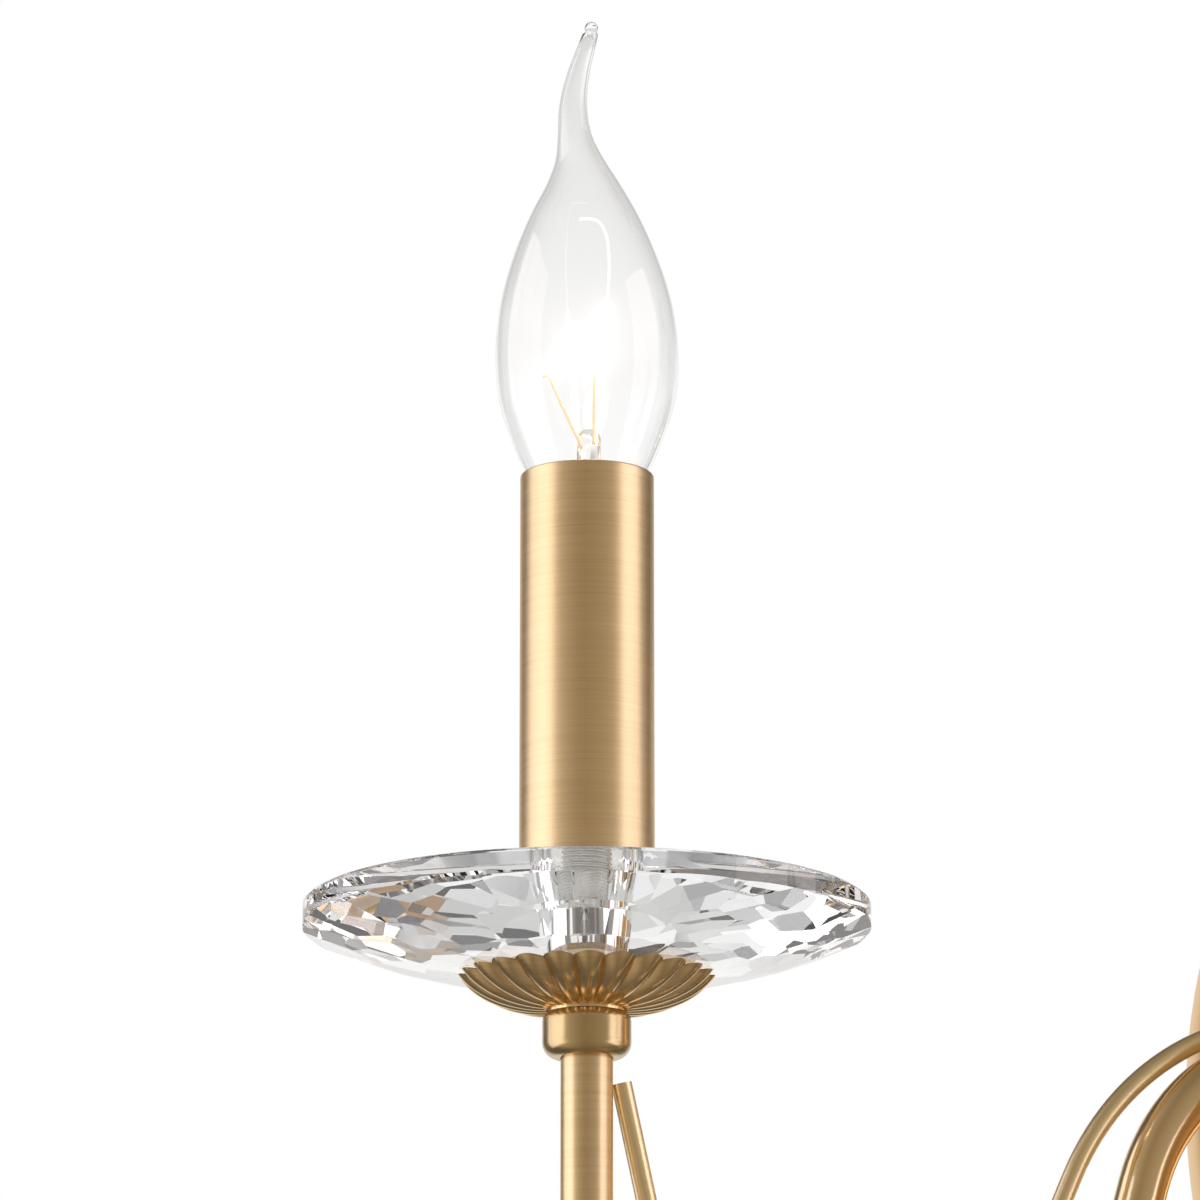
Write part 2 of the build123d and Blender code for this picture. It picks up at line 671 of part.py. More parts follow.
# Hub that holds the arm ends, with a grub screw on each
with BuildPart() as arm_hub:
    with BuildSketch(column_height(arm_z - HUB_H / 2)):
        Circle(HUB_D / 2)
        Circle(CENTRE_ROD_D / 2 + SLIP, mode=Mode.SUBTRACT)
    extrude(amount=HUB_H)
    for turn in ARM_TURNS:
        outward = Vector(1, 0, 0).rotate(Axis.Z, turn)
        with BuildSketch(Plane(origin=outward * hub_socket_r + Vector(0, 0, arm_z), z_dir=outward)):
            Circle(TUBE_D / 2 + SLIP / 2)
        extrude(amount=HUB_SOCKET_DEPTH, mode=Mode.SUBTRACT)
    with BuildSketch(column_height(arm_z)):
        with PolarLocations(HUB_SCREW_R, ARM_COUNT, start_angle=FIRST_ARM_TURN):
            Circle(HUB_SCREW_D / 2 + SLIP / 2)
    extrude(amount=HUB_H / 2, mode=Mode.SUBTRACT)
save(arm_hub, "arm_hub")

with BuildPart() as hub_screws:
    with BuildSketch(column_height(arm_z + TUBE_D / 2 + SLIP / 2)):
        with PolarLocations(HUB_SCREW_R, ARM_COUNT, start_angle=FIRST_ARM_TURN):
            Circle(HUB_SCREW_D / 2)
    extrude(amount=HUB_H / 2 - TUBE_D / 2 - SLIP / 2)
save(hub_screws, "hub_screws")

# Hollow rod up the middle of the column, and the nuts that hold the hub on it
rod_bottom_z = foot_cup_z - FINIAL_BORE_H
rod_top_z = boss_bottom_z + BOSS_BORE_H
with BuildPart() as centre_rod:
    with BuildSketch(column_height(rod_bottom_z)):
        Circle(CENTRE_ROD_D / 2)
        Circle(CENTRE_ROD_BORE / 2, mode=Mode.SUBTRACT)
    extrude(amount=rod_top_z - rod_bottom_z)
save(centre_rod, "centre_rod")

with BuildPart() as rod_nuts:
    for nut_z in (arm_z + HUB_H / 2, arm_z - HUB_H / 2 - ROD_NUT_H):
        with BuildSketch(column_height(nut_z)):
            RegularPolygon(ROD_NUT_FLATS / 2, 6, major_radius=False)
            Circle(CENTRE_ROD_D / 2 + SLIP / 2, mode=Mode.SUBTRACT)
        extrude(amount=ROD_NUT_H)
save(rod_nuts, "rod_nuts")

with BuildPart() as upper_stem:
    with BuildSketch(column_height(stem_bottom_z)):
        Circle(STEM_D / 2)
        Circle(STEM_D / 2 - STEM_WALL, mode=Mode.SUBTRACT)
    extrude(amount=STEM_LENGTH)
save(upper_stem, "upper_stem")


def draw_column_bead(bottom_z, height, low_r, high_r):
    """Half section of a round bead threaded on the centre rod."""
    bore_r = CENTRE_ROD_D / 2 + SLIP
    with BuildSketch(Plane.XZ) as section:
        with BuildLine():
            low = (low_r, bottom_z)
            high = (high_r, bottom_z + height)
            ThreePointArc(low, (max(low_r, high_r) + BEAD_SWELL, bottom_z + height / 2), high)
            Polyline(high, (bore_r, bottom_z + height), (bore_r, bottom_z), low)
        make_face()
    return section.sketch


with BuildPart() as column_beads:
    neck_r = URN_NECK_D / 2 + BEAD_LIP
    foot_r = URN_FOOT_D / 2 + BEAD_LIP
    revolve(draw_column_bead(urn_top_z, NECK_BEAD_H, neck_r, neck_r), axis=Axis.Z)
    revolve(draw_column_bead(urn_foot_z - FOOT_BEAD_H, FOOT_BEAD_H, CUP_FLOOR_R - LOOSE, foot_r), axis=Axis.Z)
save(column_beads, "column_beads")

# Finial that closes the column from below
ball_r = FINIAL_BALL_D / 2
ball_z = foot_cup_z - FINIAL_NECK_H - sqrt(ball_r**2 - (FINIAL_NECK_D / 2) ** 2)
ball_end_z = ball_z - sqrt(ball_r**2 - (FINIAL_TIP_NECK_D / 2) ** 2)
tip_z = ball_end_z - sqrt((FINIAL_TIP_D / 2) ** 2 - (FINIAL_TIP_NECK_D / 2) ** 2)
with BuildPart() as finial:
    with BuildSketch(Plane.XZ):
        with BuildLine():
            neck_corner = (FINIAL_NECK_D / 2, foot_cup_z - FINIAL_NECK_H)
            tip_corner = (FINIAL_TIP_NECK_D / 2, ball_end_z)
            tip_end = (0, tip_z - FINIAL_TIP_D / 2)
            ThreePointArc(neck_corner, (ball_r, ball_z), tip_corner)
            ThreePointArc(tip_corner, (FINIAL_TIP_D / 2, tip_z), tip_end)
            Polyline(tip_end, (0, foot_cup_z), (FINIAL_NECK_D / 2, foot_cup_z), neck_corner)
        make_face()
    revolve(axis=Axis.Z)
    with BuildSketch(column_height(foot_cup_z)):
        Circle(CENTRE_ROD_D / 2 + SLIP / 2)
    extrude(amount=-FINIAL_BORE_H, mode=Mode.SUBTRACT)
save(finial, "finial")


def draw_ring_section(ring_z):
    """Round wire section of a loop that stands in the XZ plane."""
    with BuildSketch(column_height(ring_z)) as section:
        with Locations((LINK_BEND_R, 0)):
            Circle(LINK_WIRE / 2)
    return section.sketch


# Loop on top of the column: the lowest link passes through it
with BuildPart() as column_loop:
    revolve(draw_ring_section(column_ring_z), axis=Axis((0, 0, column_ring_z), (0, 1, 0)))
    with BuildSketch(column_height(boss_bottom_z)):
        Circle(BOSS_D / 2)
    extrude(amount=BOSS_H)
    with BuildSketch(column_height(boss_bottom_z)):
        Circle(CENTRE_ROD_D / 2 + SLIP / 2)
    extrude(amount=BOSS_BORE_H, mode=Mode.SUBTRACT)
save(column_loop, "column_loop")

# Chain links, each a quarter turn from the one above
for index, top_z in enumerate(link_top_z):
    broad = Vector(0, 1, 0) if index % 2 == 0 else Vector(1, 0, 0)
    across_link = broad.cross(Vector(0, 0, 1))
    link_plane = Plane(origin=(0, 0, top_z), x_dir=broad)
    low_plane = link_plane.offset(-LINK_STRAIGHT)
    with BuildPart() as chain_link:
        with BuildSketch(link_plane):
            with Locations((LINK_BEND_R, 0), (-LINK_BEND_R, 0)):
                Circle(LINK_WIRE / 2)
        extrude(amount=-LINK_STRAIGHT)
        with BuildSketch(link_plane):
            with Locations((LINK_BEND_R, 0)):
                Circle(LINK_WIRE / 2)
        revolve(axis=Axis(link_plane.origin, across_link), revolution_arc=180)
        with BuildSketch(low_plane):
            with Locations((LINK_BEND_R, 0)):
                Circle(LINK_WIRE / 2)
        revolve(axis=Axis(low_plane.origin, -across_link), revolution_arc=180)
    save(chain_link, f"chain_link_{index + 1}")


# Ceiling end: bracket, threaded loop, canopy and the collar that holds it up
with BuildPart() as ceiling_bracket:
    with BuildSketch(column_height(-BRACKET_T)):
        Rectangle(BRACKET_L, BRACKET_W)
        with GridLocations(SLOT_SPACING, 0, 2, 1):
            SlotOverall(SLOT_L, SLOT_W, mode=Mode.SUBTRACT)
        with GridLocations(STUD_SPACING, 0, 2, 1):
            Circle(STUD_D / 2 + SLIP / 2, mode=Mode.SUBTRACT)
    extrude(amount=BRACKET_T)
    with BuildSketch(column_height(-BRACKET_T)):
        Circle(BRACKET_BUSH_D / 2)
    extrude(amount=-BRACKET_BUSH_H)
    with BuildSketch(column_height(0)):
        Circle(SHANK_D / 2 + SLIP / 2)
    extrude(amount=-BRACKET_T - BRACKET_BUSH_H, mode=Mode.SUBTRACT)
save(ceiling_bracket, "ceiling_bracket")

with BuildPart() as canopy_loop:
    revolve(draw_ring_section(canopy_ring_z), axis=Axis((0, 0, canopy_ring_z), (0, 1, 0)))
    with BuildSketch(column_height(canopy_ring_z + LINK_BEND_R)):
        Circle(SHANK_D / 2)
    extrude(amount=-SHANK_RECESS - canopy_ring_z - LINK_BEND_R)
save(canopy_loop, "canopy_loop")

with BuildPart() as canopy:
    with BuildSketch(Plane.XZ):
        with BuildLine():
            flat_r = CANOPY_FLAT_D / 2
            hole_r = SHANK_D / 2 + LOOSE
            side_r = CANOPY_D / 2 - flat_r
            side_h = CANOPY_H - CANOPY_GAP
            outside = EllipticalCenterArc((flat_r, -CANOPY_GAP), side_r, side_h, 270, arc_size=90)
            inside = EllipticalCenterArc(
                (flat_r, -CANOPY_GAP), side_r - CANOPY_WALL, side_h - CANOPY_WALL, 270, arc_size=90
            )
            Line(outside @ 1, inside @ 1)
            Polyline(outside @ 0, (hole_r, -CANOPY_H), (hole_r, CANOPY_WALL - CANOPY_H), inside @ 0)
        make_face()
    revolve(axis=Axis.Z)
    with BuildSketch(column_height(-CANOPY_H)):
        with GridLocations(STUD_SPACING, 0, 2, 1):
            Circle(STUD_D / 2 + LOOSE)
    extrude(amount=CANOPY_WALL, mode=Mode.SUBTRACT)
save(canopy, "canopy")

with BuildPart() as loop_collar:
    with BuildSketch(Plane.XZ):
        with BuildLine():
            bore_r = SHANK_D / 2 + SLIP / 2
            top = (COLLAR_D / 2, -CANOPY_H)
            foot = (COLLAR_FOOT_D / 2, collar_bottom_z)
            ThreePointArc(top, (COLLAR_BELLY_D / 2, -CANOPY_H - COLLAR_H / 2), foot)
            Polyline(foot, (bore_r, collar_bottom_z), (bore_r, -CANOPY_H), top)
        make_face()
    revolve(axis=Axis.Z)
save(loop_collar, "loop_collar")

with BuildPart() as canopy_studs:
    with BuildSketch(column_height(-SHANK_RECESS)):
        with GridLocations(STUD_SPACING, 0, 2, 1):
            Circle(STUD_D / 2)
    extrude(amount=SHANK_RECESS - CANOPY_H - CAP_NUT_H + CAP_NUT_CROWN)
save(canopy_studs, "canopy_studs")

with BuildPart() as canopy_nuts:
    with BuildSketch(column_height(-CANOPY_H)):
        with GridLocations(STUD_SPACING, 0, 2, 1):
            Circle(CAP_NUT_D / 2)
    extrude(amount=-CAP_NUT_H)
    fillet(canopy_nuts.faces().group_by(Axis.Z)[0].edges(), radius=CAP_NUT_ROUND)
    with BuildSketch(column_height(-CANOPY_H)):
        with GridLocations(STUD_SPACING, 0, 2, 1):
            Circle(STUD_D / 2 + SLIP / 2)
    extrude(amount=CAP_NUT_CROWN - CAP_NUT_H, mode=Mode.SUBTRACT)
save(canopy_nuts, "canopy_nuts")

# Terminal block under the bracket, beside its bush
block_x = -BRACKET_BUSH_D / 2 - LOOSE - BLOCK_X / 2
with BuildPart() as terminal_block:
    with BuildSketch(Plane(origin=(block_x, 0, -BRACKET_T))):
        Rectangle(BLOCK_X, BLOCK_Y)
    extrude(amount=-BLOCK_Z)
    with BuildSketch(Plane(origin=(block_x, 0, -BRACKET_T - BLOCK_Z))):
        with GridLocations(0, BLOCK_Y / BLOCK_POLES, 1, BLOCK_POLES):
            Circle(BLOCK_SCREW_D / 2)
    extrude(amount=BLOCK_SCREW_DEPTH, mode=Mode.SUBTRACT)
save(terminal_block, "terminal_block")
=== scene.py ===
"""Look of a candle chandelier: satin brass, cut crystal dishes and lit candle lamps.

Metres, +Z up. The origin is the middle of the ceiling bracket's top face, as in the solids.
"""

import json
import math

import bmesh
import bpy
import numpy as np
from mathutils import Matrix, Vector


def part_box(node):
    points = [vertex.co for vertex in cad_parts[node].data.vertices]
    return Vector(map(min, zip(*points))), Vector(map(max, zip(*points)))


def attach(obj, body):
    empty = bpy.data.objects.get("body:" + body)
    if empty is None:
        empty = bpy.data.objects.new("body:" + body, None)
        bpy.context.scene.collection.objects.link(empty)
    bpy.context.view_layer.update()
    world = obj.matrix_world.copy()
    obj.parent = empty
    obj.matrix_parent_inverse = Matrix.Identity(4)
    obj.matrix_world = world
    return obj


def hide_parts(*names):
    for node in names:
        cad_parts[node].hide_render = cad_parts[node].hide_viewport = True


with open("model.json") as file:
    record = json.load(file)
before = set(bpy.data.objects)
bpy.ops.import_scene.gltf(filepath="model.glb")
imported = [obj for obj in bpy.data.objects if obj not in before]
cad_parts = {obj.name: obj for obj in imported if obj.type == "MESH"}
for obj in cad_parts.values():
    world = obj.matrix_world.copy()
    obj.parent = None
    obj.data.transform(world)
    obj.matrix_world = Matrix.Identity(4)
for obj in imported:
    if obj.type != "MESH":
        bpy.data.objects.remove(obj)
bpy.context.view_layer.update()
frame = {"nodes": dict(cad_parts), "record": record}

MM = 0.001
FULL_TURN = 2 * math.pi
ARMS = (1, 2, 3)
LAMP_PHOTOGRAPHED = 1

# Camera, in the photograph's frame
LENS = 188.3
SENSOR = 36.0
CAMERA_TURN = math.radians(6.0)
CAMERA_PITCH = math.radians(14.4)
CAMERA_X = -47.7 * MM
CAMERA_Y = -1270.1 * MM
CAMERA_BELOW_DISH = 241.9 * MM

# Meshes: points closer than this are one, and edges sharper than this show on closed profiles
WELD = 1e-7
CREASE_ANGLE = math.radians(38.0)

# Lamp glass in millimetres: rise above the dish's flat top, radius, and lean of the bent tip
TAIL_TURN = math.radians(156.0)
GLASS_WALL = 0.6
GLASS_STATIONS = np.array((
    (66.2, 5.9, 0.0),
    (73.5, 5.9, 0.0),
    (79.0, 7.9, 0.0),
    (85.0, 11.4, 0.0),
    (92.4, 14.7, 0.0),
    (100.5, 17.2, 0.0),
    (108.0, 17.9, 0.0),
    (119.7, 16.9, -0.2),
    (129.1, 14.3, -0.4),
    (138.6, 10.4, -0.6),
    (144.9, 7.1, -0.8),
    (149.4, 4.95, -1.4),
    (154.4, 3.5, -2.4),
    (160.8, 2.8, -2.8),
    (167.2, 2.3, -1.9),
    (173.5, 1.8, -0.1),
))
TIP_NECK = (175.8, 1.62, 0.5)
HOLLOW_END = np.array(((174.6, 0.95, 0.2), (175.4, 0.6, 0.4), (175.7, 0.0, 0.5)))
HOLLOW_LEAST_R = 0.25
TIP_BEAD_R = 1.35
TIP_BEAD_RISE = 177.2
TIP_BEAD_LEAN = 0.8
TIP_BEAD_SWEEP = (-0.55 * math.pi, 0.5 * math.pi)
TIP_BEAD_ABOVE_NECK = 0.4
OUTSIDE_ROWS = 150
INSIDE_ROWS = 130
TIP_BEAD_ROWS = 16
GLASS_COLUMNS = 64

# Pressed stem in millimetres: rise, half width along the tip's lean, half width across it
STEM_STATIONS = np.array((
    (66.2, 5.1, 5.1),
    (69.0, 4.2, 4.2),
    (78.0, 2.7, 2.7),
    (86.0, 2.2, 1.8),
    (91.0, 2.3, 1.1),
    (93.6, 2.0, 1.0),
    (94.4, 1.2, 0.7),
))
STEM_FOOT = 66.2
STEM_RISE = 28.2
STEM_CROWN = 94.7
STEM_LEAN = 0.4
STEM_ROWS = 60
STEM_COLUMNS = 40

# Wires of the lamp in millimetres: x along the tip's lean, y across it, z above the dish
SUPPORT_LEFT = np.array((
    (-0.9, 0.0, 90.5), (-3.4, 0.2, 96.0), (-6.9, 0.4, 104.0), (-7.6, 0.4, 105.6),
    (-8.6, 0.3, 105.4),
))
SUPPORT_RIGHT = np.array((
    (1.2, 0.1, 91.5), (1.3, 0.2, 97.0), (1.35, 0.2, 104.0), (1.5, 0.2, 106.2),
))
TALL_LEAD = np.array((
    (1.6, -0.3, 92.0), (3.2, -0.6, 104.0), (3.9, -0.4, 119.9), (4.25, 0.0, 130.2),
    (3.6, 0.2, 134.6), (2.1, 0.4, 137.2), (0.2, 0.4, 137.7), (-1.45, 0.4, 137.6),
))
FILAMENT = np.array((
    (-7.4, 0.4, 105.4), (-4.6, 1.2, 110.4), (-2.2, 1.6, 113.8), (0.2, 1.0, 112.2),
    (1.5, 0.3, 106.4), (2.2, -0.4, 112.0), (3.2, -0.6, 116.6), (3.9, -0.4, 119.9),
))
SUPPORT_R = 0.28
LEAD_R = SUPPORT_R * 0.8
COIL_R = 0.42
COIL_WIRE_R = 0.11
COIL_PITCH = 0.42
COIL_STEPS_A_TURN = 10
SUPPORT_STEPS = 40
LEAD_STEPS = 80
FILAMENT_STEPS = 200
WIRE_COLUMNS = 8
COIL_COLUMNS = 5
TUBE_GUIDE = np.array((0.31, 0.94, 0.12))
COIL_GUIDE = np.array((0.1, 0.98, 0.15))

# Threaded nipple through the dish
NIPPLE_R = 4.9
NIPPLE_BORE_R = 3.5
THREAD_PITCH = 1.0
THREAD_DEPTH = 0.6
THREAD_ROWS_A_PITCH = 8
THREAD_COLUMNS = 40

# Fluted cup, and the flared washer between it and the dish
PETALS = 24
PETAL_COLUMNS = 16
CUP_ROWS = 44
CUP_H = 7.0
CUP_BASE_R = 7.8
CUP_RIM_R = 24.6
CUP_BORE_R = 5.4
CUP_SWEEP = math.radians(66.0)
SKIRT = ((7.4, -0.40), (7.75, -0.45))
FLUTE_BASE = 0.5
FLUTE_RIM = 2.1
RIM_SCALLOP = 1.7
SCALLOP_POWER = 6
INSIDE_ROWS_OF_CUP = 12
INSIDE_SWEEP = math.pi * 0.44
INSIDE_FLOOR_R = 9.6
INSIDE_RIM_R = 21.4
INSIDE_FLOOR_H = 1.9
WASHER_FOOT_R = 9.0
WASHER_FACE_R = 13.4
WASHER_GAP = 0.3
WASHER_COLUMNS = 64

# Candle sleeve and lock nut, both a hair above the dish
DISH_GAP = 0.25
SLEEVE_R = 13.0
SLEEVE_BORE_R = 12.0
SLEEVE_H = 85.0
SLEEVE_EDGE_R = 0.4
SLEEVE_EDGE_ROWS = 6
SLEEVE_COLUMNS = 128
NUT_FLATS = 14.0
NUT_BORE_R = 5.1
NUT_H = 3.0
NUT_CHAMFER = 0.5
NUT_FACE_BEYOND_FLATS = 0.2
NUT_COLUMNS = 72

# Finishes: noise in waves a metre, bump as a strength and a depth in metres
NOISE_ROUGHNESS = 0.55
BRUSH_LINES = (34.0, 34.0, 2600.0)
BRUSH_STROKES = (12.0, 12.0, 900.0)
BRUSH_DEPTH = 0.0001
LINES_IN_GRAIN = 0.6
STROKES_IN_GRAIN = 0.4
LACQUER_PATCHES = 24.0
GRAIN_ON_COLOUR = 2.2
LACQUER_ON_COLOUR = 0.6
GRAIN_ON_ROUGHNESS = 0.14
LACQUER_ON_ROUGHNESS = 0.06
BRASS_EDGE_TINT = (1.0, 0.90, 0.76, 1.0)
LEG_REACH = (20.0 * MM, 8.0 * MM)
CURVE_ROUGHNESS = 0.17

CRYSTAL_IOR = 1.54
FROST_FROM_RIM = (0.9 * MM, 0.4 * MM)
FROST_HEIGHT = (-0.7 * MM, -0.15 * MM)
FROST_SPECKLE = 900.0
FROST_ROUGHNESS = 0.04
SPECKLE_ON_ROUGHNESS = 0.12
FROST_BUMP = (0.10, 0.0003)

GLASS_WAVES = (120.0, 120.0, 60.0)
GLASS_ROUGHNESS = 0.006
WAVES_ON_ROUGHNESS = 0.01
GLASS_WAVE_DEPTH = 0.001

PLATE_CLOUDS = 160.0
SPECKS_ON_ROUGHNESS = 0.14
PLATE_BUMP = (0.05, 0.0003)

PLASTIC_GRAIN = 2600.0
PLASTIC_CLOUDS = 90.0
PLASTIC_GRAIN_ON_ROUGHNESS = 0.2
PLASTIC_BUMP = (0.08, 0.0002)

HOT_WIRE = (0.4, 0.3, 0.2, 1.0)
HOT_WIRE_ROUGHNESS = 0.4
HOT_WIRE_PATCHES = 700.0
DIMMED_GREEN = 0.88
DIMMED_BLUE = 0.72
COIL_GLOW = 90.0
# Painted glow: the supports and lead are no lamp, and their emission stands in for the coil's light
# on them
SUPPORT_PAINTED_GLOW = 0.8
LEAD_PAINTED_GLOW = 2.2

# Soft lights: place from the sleeve's middle, width and height in metres, watts, colour
SOFTBOXES = (
    ("left_softbox", (-1.28, -0.14, 0.1), (1.45, 2.2), 11.7, (1.0, 0.94, 0.98)),
    ("right_softbox", (1.44, -0.04, 0.1), (1.10, 2.2), 10.2, (1.0, 0.93, 0.95)),
)
BEHIND_A_LAMP = (3.4, 3.6)  # glass faces crossed: four is a whole lamp, two walls of two faces

FLOOR_Z = -4.2
FLOOR_REACH = 60.0
FLOOR_PALE = (0.90, 0.90, 0.89, 1.0)
FLOOR_DEEP = (0.87, 0.87, 0.86, 1.0)
FLOOR_ROUGHNESS = 0.6

# Surround: colours from straight ahead of the part (0) to straight behind it (1)
WHITE = (1.0, 1.0, 1.0, 1.0)
MIRRORED_STOPS = (
    (0.0, (0.34, 0.27, 0.18)),
    (0.45, (0.24, 0.195, 0.14)),
    (0.75, (0.14, 0.12, 0.10)),
    (0.87, (0.16, 0.15, 0.13)),
    (0.93, (0.88, 0.86, 0.84)),
)
GLAZED_STOPS = (
    (0.0, (0.22, 0.21, 0.20)),
    (0.35, (0.32, 0.31, 0.30)),
    (0.60, (0.36, 0.36, 0.37)),
    (0.85, (0.45, 0.45, 0.46)),
    (0.95, (1.0, 1.0, 1.0)),
)

# What brass mirrors: less white on the right, and a warm wash on both sides of the front
RIGHT_SHADE = (0.05, 0.20)
RIGHT_SHADE_SHARE = 0.05
FRONT = (0.2, -0.2)
LEFT_WASH = (-0.10, -0.75)
LEFT_WASH_SHARE = 0.95
RIGHT_WASH = (0.10, 0.75)
RIGHT_WASH_SHARE = 0.45
WASH_COLOUR = (0.58, 0.49, 0.36, 1.0)

# What glass shows: patches by level of a noise, below a height, then tones seen down and up
ROOM_PATCHES = 3.2
ROOM_DETAIL = 1.0
ROOM_TILT = 0.10
ROOM_TOP = (0.20, 0.05)
ROOM_TONES = (
    ((0.45, 0.42), WHITE),
    ((0.53, 0.56), (0.10, 0.10, 0.105, 1.0)),
    ((0.67, 0.70), (0.44, 0.30, 0.20, 1.0)),
)
UNDERSIDE = (-0.60, -0.80)
UNDERSIDE_SHARE = 0.6
UNDERSIDE_COLOUR = (0.36, 0.36, 0.37, 1.0)
HAZE = (0.27, 0.35)
HAZE_SHARE = 0.9
HAZE_COLOUR = (0.69, 0.69, 0.68, 1.0)
GROUND = (0.12, 0.0)
GROUND_COLOUR = (0.77, 0.765, 0.75, 1.0)

# Light inside the crystal, and the bloom round what is far brighter than white
MOST_BOUNCES = 24
GLOSSY_BOUNCES = 16
BLOOM = {"Threshold": 3.0, "Strength": 0.9, "Saturation": 0.6, "Size": 0.5}


class Value:
    """A shader socket that takes part in arithmetic: each operator adds one Math node."""

    def __init__(self, shader, socket):
        self.shader = shader
        self.socket = socket

    def math(self, operation, first, second):
        return self.shader.node("ShaderNodeMath", {"operation": operation}, {0: first, 1: second})

    def __add__(self, other):
        return self.math("ADD", self, other)

    __radd__ = __add__

    def __mul__(self, other):
        return self.math("MULTIPLY", self, other)

    def __sub__(self, other):
        return self.math("SUBTRACT", self, other)

    def __rsub__(self, other):
        return self.math("SUBTRACT", other, self)

    def __pow__(self, other):
        return self.math("POWER", self, other)


class Shader:
    """A node tree with one way to add any node: its type, its settings, then its sockets."""

    def __init__(self, tree):
        self.tree = tree
        tree.nodes.clear()

    def node(self, kind, settings=None, inputs=None, output=0):
        """A new node, given back as the value of one of its outputs if it has any."""
        made = self.tree.nodes.new(kind)
        for name, value in (settings or {}).items():
            setattr(made, name, value)
        for name, value in (inputs or {}).items():
            if isinstance(value, Value):
                self.tree.links.new(value.socket, made.inputs[name])
            else:
                made.inputs[name].default_value = value
        return Value(self, made.outputs[output]) if len(made.outputs) else None

    def ramp(self, place, stops):
        """Colours between stops, each a position and a colour."""
        made = self.node("ShaderNodeValToRGB", {}, {"Fac": place})
        elements = made.socket.node.color_ramp.elements
        while len(elements) < len(stops):
            elements.new(0.5)
        for element, (position, colour) in zip(elements, stops):
            element.position = position
            element.color = (*colour, 1.0)
        return made

    def place(self, scale=(1.0, 1.0, 1.0), centre=(0.0, 0.0, 0.0)):
        """Object coordinates, moved so that centre is the zero and then scaled."""
        spot = self.node("ShaderNodeTexCoord", output="Object")
        shift = [-c * s for c, s in zip(centre, scale)]
        inputs = {"Vector": spot, "Scale": scale, "Location": shift}
        return self.node("ShaderNodeMapping", {}, inputs)

    def noise(self, waves, detail):
        """Noise on object coordinates, in waves a metre: one number, or one along each axis."""
        scale = waves if isinstance(waves, tuple) else (waves,) * 3
        inputs = {"Vector": self.place(scale), "Scale": 1.0, "Detail": detail,
                  "Roughness": NOISE_ROUGHNESS}
        return self.node("ShaderNodeTexNoise", {"noise_dimensions": "3D"}, inputs)

    def split(self, vector):
        """The three parts of a vector."""
        parts = self.node("ShaderNodeSeparateXYZ", {}, {"Vector": vector}).socket.node.outputs
        return [Value(self, part) for part in parts]

    def reach(self, centre):
        """Distance from an upright axis through centre, and height above it."""
        across, along, up = self.split(self.place(centre=centre))
        return (across * across + along * along) ** 0.5, up

    def fade(self, value, start, finish):
        """0 up to start, 1 from finish on, and a straight rise between."""
        inputs = {"Value": value, "From Min": start, "From Max": finish,
                  "To Min": 0.0, "To Max": 1.0}
        return self.node("ShaderNodeMapRange", {"clamp": True}, inputs)

    def blend(self, share, first, second):
        """Mix of two colours by a share from 0 to 1."""
        settings = {"data_type": "RGBA", "clamp_factor": True}
        inputs = {"Factor": share, 6: first, 7: second}
        return self.node("ShaderNodeMix", settings, inputs, output=2)

    def bump(self, height, strength, distance):
        inputs = {"Height": height, "Strength": strength, "Distance": distance}
        return self.node("ShaderNodeBump", {}, inputs)

    def light_path(self, fact):
        """One fact about the ray that meets this surface, light or surround."""
        return self.node("ShaderNodeLightPath", output=fact)

    def surface(self, inputs):
        body = self.node("ShaderNodeBsdfPrincipled", {}, inputs)
        self.node("ShaderNodeOutputMaterial", {}, {"Surface": body})


def new_finish(name):
    """An empty node material and its shader."""
    material = bpy.data.materials.new(name)
    material.use_nodes = True
    return material, Shader(material.node_tree)


def rgb(red, green, blue):
    return (red, green, blue, 1.0)


def brushed_brass(name, roughness, line_strength, pale, deep, leg=None):
    """Lathe-brushed brass: fine level lines, a few wider strokes, slow patches of deeper lacquer.

    A tube is brushed only round its upright leg; further out it is smoother and without lines.
    """
    material, shader = new_finish(name)
    lines = shader.noise(BRUSH_LINES, detail=3.0)
    strokes = shader.noise(BRUSH_STROKES, detail=3.0)
    patches = shader.noise(LACQUER_PATCHES, detail=4.0)
    grain = lines * LINES_IN_GRAIN + strokes * STROKES_IN_GRAIN
    if leg is not None:
        reach, _ = shader.reach(leg)
        brushed = shader.fade(reach, *LEG_REACH)
        grain = (grain - 0.5) * brushed + 0.5
        roughness = brushed * (roughness - CURVE_ROUGHNESS) + CURVE_ROUGHNESS
    share = (grain - 0.5) * GRAIN_ON_COLOUR + (patches - 0.5) * LACQUER_ON_COLOUR + 0.5
    lift = (grain - 0.5) * GRAIN_ON_ROUGHNESS
    shader.surface({
        "Base Color": shader.blend(share, deep, pale),
        "Metallic": 1.0,
        "Roughness": roughness + lift + (patches - 0.5) * LACQUER_ON_ROUGHNESS,
        "Specular Tint": BRASS_EDGE_TINT,
        "Normal": shader.bump(grain, line_strength, BRUSH_DEPTH),
    })
    return material


def cut_crystal(name, centre, rim_r):
    """Polished lead crystal, ground to a frost on its outer edge."""
    material, shader = new_finish(name)
    reach, up = shader.reach(centre)
    outer = shader.fade(reach, rim_r - FROST_FROM_RIM[0], rim_r - FROST_FROM_RIM[1])
    edge = outer * shader.fade(up, *FROST_HEIGHT)
    speckle = shader.noise(FROST_SPECKLE, detail=2.0)
    shader.surface({
        "Base Color": WHITE,
        "Roughness": edge * (FROST_ROUGHNESS + speckle * SPECKLE_ON_ROUGHNESS),
        "IOR": CRYSTAL_IOR,
        "Transmission Weight": 1.0,
        "Normal": shader.bump(speckle * edge, *FROST_BUMP),
    })
    return material


